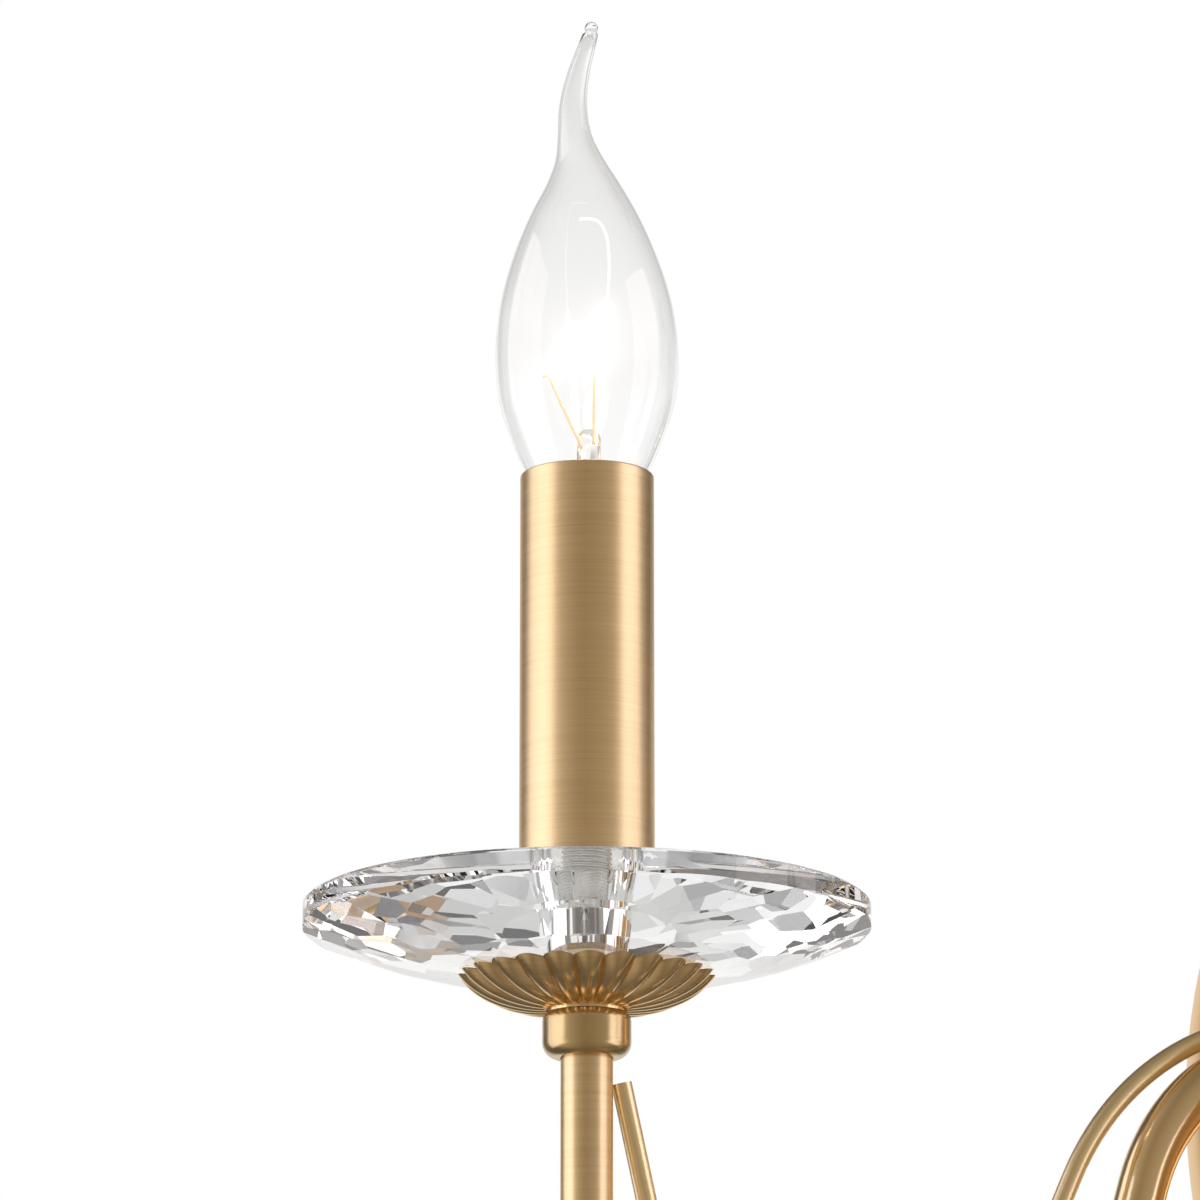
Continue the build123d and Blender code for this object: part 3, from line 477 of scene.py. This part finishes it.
def blown_glass(name, tint, ior, waver):
    """Clear blown glass with the slow unevenness of its draw."""
    material, shader = new_finish(name)
    waves = shader.noise(GLASS_WAVES, detail=1.0)
    shader.surface({
        "Base Color": tint,
        "Roughness": (waves - 0.5) * WAVES_ON_ROUGHNESS + GLASS_ROUGHNESS,
        "IOR": ior,
        "Transmission Weight": 1.0,
        "Normal": shader.bump(waves, waver, GLASS_WAVE_DEPTH),
    })
    return material


def plated_metal(name, pale, deep, roughness, speck):
    """Plated or polished metal: a bright coat with cloudy patches and fine specks."""
    material, shader = new_finish(name)
    clouds = shader.noise(PLATE_CLOUDS, detail=4.0)
    specks = shader.noise(speck, detail=2.0)
    shader.surface({
        "Base Color": shader.blend(clouds, deep, pale),
        "Metallic": 1.0,
        "Roughness": roughness + (specks - 0.5) * SPECKS_ON_ROUGHNESS,
        "Normal": shader.bump(specks, *PLATE_BUMP),
    })
    return material


def moulded_plastic(name, pale, deep, roughness):
    """Moulded plastic with a fine spark-eroded texture."""
    material, shader = new_finish(name)
    grain = shader.noise(PLASTIC_GRAIN, detail=2.0)
    clouds = shader.noise(PLASTIC_CLOUDS, detail=3.0)
    shader.surface({
        "Base Color": shader.blend(clouds, deep, pale),
        "Roughness": roughness + (grain - 0.5) * PLASTIC_GRAIN_ON_ROUGHNESS,
        "Normal": shader.bump(grain, *PLASTIC_BUMP),
    })
    return material


def glowing_wire(name, colour, strength):
    """Wire that glows, a little redder in patches along its length: the coil is the lamp, and on
    the supports and lead the glow is painted light for the coil's light falling on them.
    """
    material, shader = new_finish(name)
    patches = shader.noise(HOT_WIRE_PATCHES, detail=2.0)
    red, green, blue = colour
    redder = rgb(red, green * DIMMED_GREEN, blue * DIMMED_BLUE)
    shader.surface({
        "Base Color": HOT_WIRE,
        "Roughness": HOT_WIRE_ROUGHNESS,
        "Emission Color": shader.blend(patches, redder, rgb(red, green, blue)),
        "Emission Strength": strength,
    })
    return material


def new_piece(name, points, closed_along=False):
    """Mesh from a grid of points, rows by columns.

    Every row is a closed ring, and a ring on one point closes a pole. With closed_along the last
    row also joins the first.
    """
    rows, columns = points.shape[:2]
    row = np.arange(rows if closed_along else rows - 1)[:, None]
    column = np.arange(columns)[None, :]
    after = (column + 1) % columns
    above = (row + 1) % rows
    corners = (
        row * columns + column,
        row * columns + after,
        above * columns + after,
        above * columns + column,
    )
    faces = np.stack(np.broadcast_arrays(*corners), axis=-1)
    mesh = bpy.data.meshes.new(name)
    mesh.from_pydata(points.reshape(-1, 3).tolist(), [], faces.reshape(-1, 4).tolist())
    soft = bmesh.new()
    soft.from_mesh(mesh)
    bmesh.ops.remove_doubles(soft, verts=soft.verts, dist=WELD)
    bmesh.ops.recalc_face_normals(soft, faces=soft.faces)
    soft.to_mesh(mesh)
    soft.free()
    mesh.polygons.foreach_set("use_smooth", np.ones(len(mesh.polygons), dtype=bool))
    if closed_along:
        mesh.set_sharp_from_angle(angle=CREASE_ANGLE)
    piece = bpy.data.objects.new(name, mesh)
    bpy.context.scene.collection.objects.link(piece)
    return piece


def smooth_through(stations, count):
    """Cubic curve through stations: Hermite arcs whose end slopes are their neighbours' mean."""
    lengths = np.linalg.norm(np.diff(stations, axis=0), axis=1)
    knots = np.concatenate(([0.0], np.cumsum(lengths)))
    slopes = np.gradient(stations, knots, axis=0)
    steps = np.linspace(0.0, knots[-1], count)
    span = np.clip(np.searchsorted(knots, steps, side="right") - 1, 0, len(lengths) - 1)
    width = lengths[span][:, None]
    t = (steps[:, None] - knots[span][:, None]) / width
    start, finish = stations[span], stations[span + 1]
    start_slope, finish_slope = slopes[span] * width, slopes[span + 1] * width
    return (
        (2 * t**3 - 3 * t**2 + 1) * start
        + (t**3 - 2 * t**2 + t) * start_slope
        + (3 * t**2 - 2 * t**3) * finish
        + (t**3 - t**2) * finish_slope
    )


def turns(columns):
    """Equal angles once round."""
    return np.linspace(0.0, FULL_TURN, columns, endpoint=False)


def rings(rises, radii, leans, columns):
    """Circles of given radius at given rise, each moved sideways along x by its lean."""
    turn = turns(columns)
    x = leans[:, None] + radii[:, None] * np.cos(turn)
    y = radii[:, None] * np.sin(turn)
    z = np.broadcast_to(rises[:, None], x.shape)
    return np.stack((x, y, z), axis=-1)


def across_path(path, guide):
    """Two unit vectors across a path at each point: a guide made square to it, and a third."""
    ahead = np.gradient(path, axis=0)
    ahead /= np.linalg.norm(ahead, axis=1, keepdims=True)
    side = guide - ahead * (ahead @ guide)[:, None]
    side /= np.linalg.norm(side, axis=1, keepdims=True)
    return side, np.cross(ahead, side)


def tube_along(path, radius, columns=WIRE_COLUMNS):
    """Tube round a path: a ring across it at each point, closed on the path's two ends."""
    side, third = across_path(path, TUBE_GUIDE)
    turn = turns(columns)[None, :, None]
    ring = side[:, None, :] * np.cos(turn) + third[:, None, :] * np.sin(turn)
    body = path[:, None, :] + ring * radius
    first = np.broadcast_to(path[0], (1, columns, 3))
    last = np.broadcast_to(path[-1], (1, columns, 3))
    return np.concatenate((first, body, last))


def coil_round(path, radius, pitch):
    """Helix round a path: equal steps along it, plus a circle across it, one turn each pitch."""
    lengths = np.linalg.norm(np.diff(path, axis=0), axis=1)
    whole = lengths.sum()
    along = np.concatenate(([0.0], np.cumsum(lengths)))
    steps = np.linspace(0.0, whole, int(whole / pitch * COIL_STEPS_A_TURN))
    line = np.stack([np.interp(steps, along, path[:, axis]) for axis in range(3)], axis=-1)
    side, third = across_path(line, COIL_GUIDE)
    turn = (steps / pitch * FULL_TURN)[:, None]
    return line + radius * (side * np.cos(turn) + third * np.sin(turn))


def to_lamp(points, lamp):
    """Points in millimetres round a lamp's axis, x along its tip's lean, put there in metres."""
    low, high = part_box(f"candle_sleeve_{lamp}")
    dish_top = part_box(f"crystal_dish_{lamp}")[1].z
    centre = (low + high) / 2
    turn = math.atan2(centre.y, centre.x) + TAIL_TURN
    x, y, z = np.moveaxis(points * MM, -1, 0)
    return np.stack((
        centre.x + x * math.cos(turn) - y * math.sin(turn),
        centre.y + x * math.sin(turn) + y * math.cos(turn),
        dish_top + z,
    ), axis=-1)


def glass_outline(inset, count):
    """Rise, radius and lean of the glass from its neck to its tip's foot, moved in by an inset."""
    outline = smooth_through(GLASS_STATIONS, count)
    outline[:, 1] = np.maximum(outline[:, 1] - inset, HOLLOW_LEAST_R)
    return outline


def draw_glass():
    """Glass wall as one strip: outside from the tip to the neck, then inside to a closed end."""
    outside = glass_outline(0.0, OUTSIDE_ROWS)
    swell = np.linspace(*TIP_BEAD_SWEEP, TIP_BEAD_ROWS)
    bead = np.stack((
        TIP_BEAD_RISE + TIP_BEAD_R * np.sin(swell),
        np.maximum(TIP_BEAD_R * np.cos(swell), 0.0),
        np.full_like(swell, TIP_BEAD_LEAN),
    ), axis=-1)
    bead = bead[bead[:, 0] > TIP_NECK[0] + TIP_BEAD_ABOVE_NECK]
    bead[-1, 1] = 0.0
    top = np.concatenate((outside, np.array((TIP_NECK,)), bead))
    inside = glass_outline(GLASS_WALL, INSIDE_ROWS)
    strip = np.concatenate((top[::-1], inside, HOLLOW_END))
    return rings(strip[:, 0], strip[:, 1], strip[:, 2], GLASS_COLUMNS)


def draw_stem():
    """Pressed glass stem: ellipses that narrow upwards and flatten to the pinch with the wires."""
    outline = smooth_through(STEM_STATIONS, STEM_ROWS)
    turn = turns(STEM_COLUMNS)
    x = outline[:, 1, None] * np.cos(turn)
    y = outline[:, 2, None] * np.sin(turn)
    z = np.broadcast_to(outline[:, 0, None], x.shape)
    body = np.stack((x + STEM_LEAN * ((z - STEM_FOOT) / STEM_RISE), y, z), axis=-1)
    foot = np.broadcast_to(np.array((0.0, 0.0, STEM_FOOT)), (1, STEM_COLUMNS, 3))
    crown = np.broadcast_to(np.array((STEM_LEAN, 0.0, STEM_CROWN)), (1, STEM_COLUMNS, 3))
    return np.concatenate((foot, body, crown))


def draw_thread():
    """Screw thread over a plain bore: the radius rises and falls once each pitch and turn."""
    low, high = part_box("threaded_nipples")
    dish_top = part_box("crystal_dish_1")[1].z
    foot, head = (low.z - dish_top) / MM, (high.z - dish_top) / MM
    turn = turns(THREAD_COLUMNS)
    rows = int((head - foot) / THREAD_PITCH * THREAD_ROWS_A_PITCH)
    rise = np.linspace(foot, head, rows)[:, None]
    phase = np.mod(rise / THREAD_PITCH - turn / FULL_TURN, 1.0)
    depth = THREAD_DEPTH * np.abs(2.0 * phase - 1.0)
    ends = np.minimum(1.0, np.minimum(rise - foot, head - rise) / THREAD_PITCH)
    radius = NIPPLE_R - THREAD_DEPTH + depth * ends
    height = np.broadcast_to(rise, radius.shape)
    wall = np.stack((radius * np.cos(turn), radius * np.sin(turn), height), axis=-1)
    bore_r = np.array((NIPPLE_BORE_R, NIPPLE_BORE_R))
    bore = rings(np.array((head, foot)), bore_r, np.zeros(2), THREAD_COLUMNS)
    return np.concatenate((wall, bore))


def draw_cup():
    """Fluted cup: a bowl on part of an ellipse, pressed in along its normal between petals.

    The flutes deepen from base to rim, the rim dips between petals, a plain smaller bowl closes the
    inside, and a short skirt under the base covers the joint with the bead.
    """
    turn = turns(PETALS * PETAL_COLUMNS)
    dip = (np.mod(turn * PETALS / FULL_TURN, 1.0) * 2.0 - 1.0) ** 2
    rise = np.linspace(0.0, CUP_SWEEP, CUP_ROWS)[:, None]
    width = (CUP_RIM_R - CUP_BASE_R) / math.sin(CUP_SWEEP)
    lift = CUP_H / (1 - math.cos(CUP_SWEEP))
    slope = np.hypot(lift * np.sin(rise), width * np.cos(rise))
    share = rise / CUP_SWEEP
    depth = (FLUTE_BASE + (FLUTE_RIM - FLUTE_BASE) * share) * dip
    radius = CUP_BASE_R + width * np.sin(rise) - depth * lift * np.sin(rise) / slope
    height = lift * (1 - np.cos(rise)) + depth * width * np.cos(rise) / slope
    height = height - RIM_SCALLOP * dip * share**SCALLOP_POWER
    level = np.linspace(INSIDE_SWEEP, 0.0, INSIDE_ROWS_OF_CUP)[:, None]
    inside_h = CUP_H - INSIDE_FLOOR_H
    inner_radius = INSIDE_FLOOR_R + (INSIDE_RIM_R - INSIDE_FLOOR_R) * np.sin(level)
    inner_height = INSIDE_FLOOR_H + inside_h * (1 - np.cos(level))
    edges = np.array(((CUP_BORE_R, INSIDE_FLOOR_H), (CUP_BORE_R, 0.0), *SKIRT))
    plain = np.concatenate((np.hstack((inner_radius, inner_height)), edges))
    radius = np.concatenate((radius, np.repeat(plain[:, :1], len(turn), axis=1)))
    height = np.concatenate((height, np.repeat(plain[:, 1:], len(turn), axis=1)))
    return np.stack((radius * np.cos(turn), radius * np.sin(turn), height), axis=-1)


def draw_washer(height):
    """Washer that flares from the cup's floor to the dish: four corners turned round the axis."""
    rises = np.array((0.0, height, height, 0.0))
    radii = np.array((WASHER_FOOT_R, WASHER_FACE_R, CUP_BORE_R, CUP_BORE_R))
    return rings(rises, radii, np.zeros(4), WASHER_COLUMNS)


def draw_sleeve():
    """Candle sleeve: a straight wall with a rolled top edge, turned round the axis."""
    roll = np.linspace(0.0, math.pi / 2, SLEEVE_EDGE_ROWS)
    rises = SLEEVE_H - SLEEVE_EDGE_R * (1 - np.sin(roll))
    radii = SLEEVE_R - SLEEVE_EDGE_R * (1 - np.cos(roll))
    outer_roll = np.stack((rises, radii), axis=-1)
    inner_roll = np.stack((rises[::-1], SLEEVE_R + SLEEVE_BORE_R - radii[::-1]), axis=-1)
    foot = np.array(((DISH_GAP, SLEEVE_BORE_R), (DISH_GAP, SLEEVE_R)))
    outline = np.concatenate((outer_roll, inner_roll, foot))
    return rings(outline[:, 0], outline[:, 1], np.zeros(len(outline)), SLEEVE_COLUMNS)


def draw_nut():
    """Six-sided nut, chamfered: distance to a flat over the cosine of the angle from its middle."""
    turn = turns(NUT_COLUMNS)
    from_middle = np.mod(turn + math.pi / 6, math.pi / 3) - math.pi / 6
    flat = NUT_FLATS / 2 / np.cos(from_middle)
    face = np.minimum(flat, NUT_FLATS / 2 + NUT_FACE_BEYOND_FLATS)
    bore = np.full_like(turn, NUT_BORE_R)
    radius = np.stack((face, flat, flat, face, bore, bore))
    rises = np.array((0.0, NUT_CHAMFER, NUT_H - NUT_CHAMFER, NUT_H, NUT_H, 0.0)) + DISH_GAP
    height = np.broadcast_to(rises[:, None], radius.shape)
    return np.stack((radius * np.cos(turn), radius * np.sin(turn), height), axis=-1)


# Brass: roughness, line strength, pale and deep colour
SATIN = (0.34, 0.03, rgb(0.90, 0.73, 0.49), rgb(0.76, 0.59, 0.36))
BRIGHT = (0.19, 0.01, rgb(0.88, 0.70, 0.45), rgb(0.74, 0.55, 0.31))
# Urn: a brighter, more orange copy of the brass colours, a painted reflection of the bright
# surround it mirrors
URN_PAINTED_REFLECTION = (0.24, 0.02, rgb(0.97, 0.70, 0.40), rgb(0.88, 0.60, 0.32))
satin_brass = brushed_brass("satin_brass", *SATIN)
bright_brass = brushed_brass("bright_brass", *BRIGHT)
urn_painted_reflection_brass = brushed_brass("urn_painted_reflection_brass", *URN_PAINTED_REFLECTION)

# Plated and polished metal: pale and deep colour, roughness, specks in waves a metre
# Bead: a darker copy of the brass colours, painted shade on the bead
BEAD_PAINTED_SHADE = (rgb(0.69, 0.55, 0.34), rgb(0.60, 0.46, 0.26), 0.24, 420.0)
# Rod: a paler copy of the brass colours, a painted highlight for the broad bright band along it
ROD_PAINTED_HIGHLIGHT = (rgb(0.98, 0.84, 0.58), rgb(0.90, 0.74, 0.48), 0.31, 420.0)
NICKEL = (rgb(0.82, 0.81, 0.79), rgb(0.68, 0.67, 0.65), 0.16, 1500.0)
ZINC = (rgb(0.74, 0.75, 0.76), rgb(0.58, 0.59, 0.61), 0.36, 700.0)
bead_painted_shade_brass = plated_metal("bead_painted_shade_brass", *BEAD_PAINTED_SHADE)
rod_painted_highlight_brass = plated_metal("rod_painted_highlight_brass", *ROD_PAINTED_HIGHLIGHT)
nickel_plate = plated_metal("nickel_plate", *NICKEL)
zinc_plate = plated_metal("zinc_plate", *ZINC)

# Glass: tint, index and unevenness
lamp_glass = blown_glass("lamp_glass", WHITE, 1.33, 0.02)
stem_glass = blown_glass("stem_glass", rgb(1.0, 0.98, 0.93), 1.5, 0.1)

# Plastic: pale and deep colour, roughness
HOLDER = (rgb(0.88, 0.85, 0.78), rgb(0.80, 0.76, 0.68), 0.45)
WASHER = (rgb(0.86, 0.87, 0.88), rgb(0.76, 0.77, 0.79), 0.35)
SHEATH = (rgb(0.83, 0.80, 0.72), rgb(0.74, 0.70, 0.62), 0.5)
holder_plastic = moulded_plastic("holder_plastic", *HOLDER)
washer_plastic = moulded_plastic("washer_plastic", *WASHER)
wire_sheath = moulded_plastic("wire_sheath", *SHEATH)

# Wires of the lit lamp: colour and glow; the coil is the lamp, and the glow of the supports and
# lead is painted light for the coil's light on them
lit_filament = glowing_wire("lit_filament", (1.0, 0.9, 0.72), COIL_GLOW)
support_painted_glow = glowing_wire("support_painted_glow", (1.0, 0.76, 0.50), SUPPORT_PAINTED_GLOW)
lead_painted_glow = glowing_wire("lead_painted_glow", (1.0, 0.93, 0.78), LEAD_PAINTED_GLOW)

BRIGHT_PIECES = ("fluted_cup", "column_cups", "finial", "loop_collar", "canopy_nuts", "chain_link",
                 "canopy_loop", "column_loop")
NAMED_FINISHES = (
    (BRIGHT_PIECES, bright_brass),
    (("bead_collar", "column_beads"), bead_painted_shade_brass),
    ("accent_rod", rod_painted_highlight_brass),
    ("urn", urn_painted_reflection_brass),
)
SLOT_FINISHES = {
    "satin_brass": satin_brass,
    "clear_glass": lamp_glass,
    "stem_glass": stem_glass,
    "filament_wire": lit_filament,
    "nickel": nickel_plate,
    "zinc_steel": zinc_plate,
    "holder_plastic": holder_plastic,
    "washer_plastic": washer_plastic,
    "wire_sheath": wire_sheath,
}


def finish_for(node, slot):
    """A solid's finish: by its name where its look stands out, or else by its record slot."""
    for names, finish in NAMED_FINISHES:
        if node.startswith(names):
            return finish
    if node.startswith("arm_tube"):
        low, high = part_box(node.replace("arm_tube", "candle_sleeve"))
        return brushed_brass(f"brass_{node}", *SATIN, leg=(low + high) / 2)
    if slot == "crystal":
        low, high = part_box(node)
        centre = (low + high) / 2
        rim = Vector((centre.x, centre.y, high.z))
        return cut_crystal(f"crystal_{node}", rim, (high.x - low.x) / 2)
    return SLOT_FINISHES[slot]


def dress_solids():
    """Give every solid its finish."""
    for entry in frame["record"]["subparts"]:
        slots = frame["nodes"][entry["node"]].data.materials
        slots.clear()
        slots.append(finish_for(entry["node"], entry["material_slot"]))


def add_piece(name, points, finish, body, replaced=(), closed_along=False):
    """A new piece with its finish, riding on a body and standing for the solids it replaces."""
    piece = new_piece(name, points, closed_along)
    piece.data.materials.append(finish)
    if replaced:
        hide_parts(*replaced)
    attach(piece, body)


def make_lamps():
    """Glass, pressed stem, glowing coil, and supports and lead with a painted glow, of each lamp.
    """
    path = coil_round(smooth_through(FILAMENT, FILAMENT_STEPS), COIL_R, COIL_PITCH)
    glass, stem = draw_glass(), draw_stem()
    coil = tube_along(path, COIL_WIRE_R, COIL_COLUMNS)
    left = tube_along(smooth_through(SUPPORT_LEFT, SUPPORT_STEPS), SUPPORT_R)
    right = tube_along(smooth_through(SUPPORT_RIGHT, SUPPORT_STEPS), SUPPORT_R)
    lead = tube_along(smooth_through(TALL_LEAD, LEAD_STEPS), LEAD_R)
    shapes = (
        ("lamp_glass", glass, lamp_glass, "clear_glass", "bulb_glass"),
        ("lamp_stem", stem, stem_glass, "stem_glass", "bulb_stem"),
        ("lamp_coil", coil, lit_filament, "filament_wire", "bulb_filament"),
        ("lamp_support_left", left, support_painted_glow, "filament_wire", None),
        ("lamp_support_right", right, support_painted_glow, "filament_wire", None),
        ("lamp_lead", lead, lead_painted_glow, "filament_wire", None),
    )
    for lamp in ARMS:
        for name, points, finish, slot, solid in shapes:
            replaced = [f"{solid}_{lamp}"] if solid else ()
            placed = to_lamp(points, lamp)
            add_piece(f"{name}_{lamp}", placed, finish, f"lamp_{lamp}", replaced)


def make_nipples():
    """Threaded nipples through the dishes."""
    for lamp in ARMS:
        points = to_lamp(draw_thread(), lamp)
        add_piece(f"nipple_{lamp}", points, nickel_plate, "chandelier",
                  ["threaded_nipples"])


def make_sleeves():
    """Candle sleeves on the dishes, and the nuts inside them."""
    for lamp in ARMS:
        sleeve = to_lamp(draw_sleeve(), lamp)
        add_piece(f"sleeve_{lamp}", sleeve, satin_brass, "chandelier",
                  [f"candle_sleeve_{lamp}"], closed_along=True)
        nut = to_lamp(draw_nut(), lamp)
        add_piece(f"hex_nut_{lamp}", nut, nickel_plate, "chandelier",
                  ["lock_nuts"], closed_along=True)


def make_cups():
    """Fluted cups under the dishes and on the column, and the washers inside the dish cups."""
    cup = draw_cup() * MM
    foot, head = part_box("dish_washers")
    washer = draw_washer((head.z - foot.z) / MM - WASHER_GAP) * MM
    for lamp in ARMS:
        node = f"fluted_cup_{lamp}"
        low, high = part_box(node)
        centre = (low + high) / 2
        place = np.array((centre.x, centre.y, low.z))
        add_piece(f"petal_cup_{lamp}", cup + place, bright_brass, "chandelier",
                  [node], closed_along=True)
        place = np.array((centre.x, centre.y, foot.z))
        add_piece(f"flared_washer_{lamp}", washer + place, washer_plastic, "chandelier",
                  ["dish_washers"], closed_along=True)
    low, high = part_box("column_cups")
    for name, bottom in (("crown_cup", high.z - CUP_H * MM), ("foot_cup", low.z)):
        place = np.array((0.0, 0.0, bottom))
        add_piece(name, cup + place, bright_brass, "chandelier",
                  ["column_cups"], closed_along=True)


def make_camera():
    """Camera below the dish, tipped up at the candle."""
    dish_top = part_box(f"crystal_dish_{LAMP_PHOTOGRAPHED}")[1].z
    data = bpy.data.cameras.new("camera")
    data.lens = LENS
    data.sensor_width = SENSOR
    camera = bpy.data.objects.new("camera", data)
    camera.location = (CAMERA_X, CAMERA_Y, dish_top - CAMERA_BELOW_DISH)
    camera.rotation_euler = (math.pi / 2 + CAMERA_PITCH, 0.0, CAMERA_TURN)
    bpy.context.scene.collection.objects.link(camera)
    bpy.context.scene.camera = camera


def add_softbox(name, place, aim, size, power, colour):
    """Soft rectangular light at a place, facing an aim, and not seen straight through a lamp."""
    data = bpy.data.lights.new(name, "AREA")
    data.shape = "RECTANGLE"
    data.size, data.size_y = size
    data.energy = power
    data.color = colour
    data.use_nodes = True
    shader = Shader(data.node_tree)
    hidden = shader.fade(shader.light_path("Transmission Depth"), *BEHIND_A_LAMP)
    glow = shader.node("ShaderNodeEmission", {}, {"Strength": 1.0 - hidden})
    shader.node("ShaderNodeOutputLight", {}, {"Surface": glow})
    light = bpy.data.objects.new(name, data)
    light.location = place
    light.rotation_euler = (aim - place).to_track_quat("-Z", "Y").to_euler()
    light.visible_camera = False
    bpy.context.scene.collection.objects.link(light)


def make_lights():
    """Two tall soft lights beside the candle."""
    low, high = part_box(f"candle_sleeve_{LAMP_PHOTOGRAPHED}")
    aim = (low + high) / 2
    for name, offset, size, power, colour in SOFTBOXES:
        add_softbox(name, aim + Vector(offset), aim, size, power, colour)


def make_floor():
    """Pale floor far below, seen by the camera and not in mirrors or through glass."""
    signs = ((-1, -1), (1, -1), (1, 1), (-1, 1))
    corners = [(x * FLOOR_REACH, y * FLOOR_REACH, FLOOR_Z) for x, y in signs]
    mesh = bpy.data.meshes.new("floor")
    mesh.from_pydata(corners, [], [(0, 1, 2, 3)])
    floor = bpy.data.objects.new("floor", mesh)
    bpy.context.scene.collection.objects.link(floor)
    paint = moulded_plastic("floor_paint", FLOOR_PALE, FLOOR_DEEP, FLOOR_ROUGHNESS)
    floor.data.materials.append(paint)
    floor.visible_glossy = False
    floor.visible_transmission = False


def mirrored_room(shader, right, back):
    """What brass mirrors: a dim warm front with a paler wash on each side, and white behind."""
    shade = shader.fade(right, *RIGHT_SHADE) * RIGHT_SHADE_SHARE
    room = shader.ramp(back * 0.5 + 0.5 - shade, MIRRORED_STOPS)
    front = shader.fade(back, *FRONT)
    left_wash = shader.fade(right, *LEFT_WASH) * LEFT_WASH_SHARE
    right_wash = shader.fade(right, *RIGHT_WASH) * RIGHT_WASH_SHARE
    return shader.blend((left_wash + right_wash) * front, room, WASH_COLOUR)


def glazed_room(shader, way, right, back, up):
    """What glass shows: a grey room with pale, dark and brown patches, haze above, floor below."""
    room = shader.ramp(back * 0.5 + 0.5, GLAZED_STOPS)
    spots = {"Vector": way, "Scale": ROOM_PATCHES, "Detail": ROOM_DETAIL}
    level = shader.node("ShaderNodeTexNoise", {"noise_dimensions": "3D"}, spots) + right * ROOM_TILT
    low_down = shader.fade(up, *ROOM_TOP)
    for span, colour in ROOM_TONES:
        room = shader.blend(shader.fade(level, *span) * low_down, room, colour)
    room = shader.blend(shader.fade(up, *UNDERSIDE) * UNDERSIDE_SHARE, room, UNDERSIDE_COLOUR)
    room = shader.blend(shader.fade(up, *HAZE) * HAZE_SHARE, room, HAZE_COLOUR)
    behind_lamp = shader.fade(shader.light_path("Transmission Depth"), *BEHIND_A_LAMP)
    return shader.blend(behind_lamp * shader.fade(up, *GROUND), room, GROUND_COLOUR)


def make_surround():
    """White to the camera and to matt surfaces, and a room of its own to brass and to glass."""
    world = bpy.data.worlds.new("studio")
    world.use_nodes = True
    bpy.context.scene.world = world
    shader = Shader(world.node_tree)
    way = shader.node("ShaderNodeTexCoord", output="Generated")
    right, back, up = shader.split(way)
    mirrored = mirrored_room(shader, right, back)
    glazed = glazed_room(shader, way, right, back, up)
    room = shader.blend(shader.light_path("Is Transmission Ray"), mirrored, glazed)
    plain = shader.light_path("Is Camera Ray") + shader.light_path("Is Diffuse Ray")
    colour = shader.blend(plain, room, WHITE)
    light = shader.node("ShaderNodeBackground", {}, {"Color": colour, "Strength": 1.0})
    shader.node("ShaderNodeOutputWorld", {}, {"Surface": light})
    bpy.context.scene.view_settings.view_transform = "Standard"


def let_light_bounce():
    """Enough bounces for light caught inside the cut crystal, and a bloom round the filament."""
    scene = bpy.context.scene
    scene.cycles.max_bounces = MOST_BOUNCES
    scene.cycles.glossy_bounces = GLOSSY_BOUNCES
    scene.cycles.transmission_bounces = MOST_BOUNCES
    scene.use_nodes = True
    picture = Shader(scene.node_tree)
    inputs = {"Image": picture.node("CompositorNodeRLayers"), **BLOOM}
    bloom = picture.node("CompositorNodeGlare", {"glare_type": "BLOOM"}, inputs)
    picture.node("CompositorNodeComposite", {}, {"Image": bloom})


dress_solids()
make_lamps()
make_nipples()
make_sleeves()
make_cups()
make_camera()
make_lights()
make_floor()
make_surround()
let_light_bounce()

bpy.context.view_layer.update()
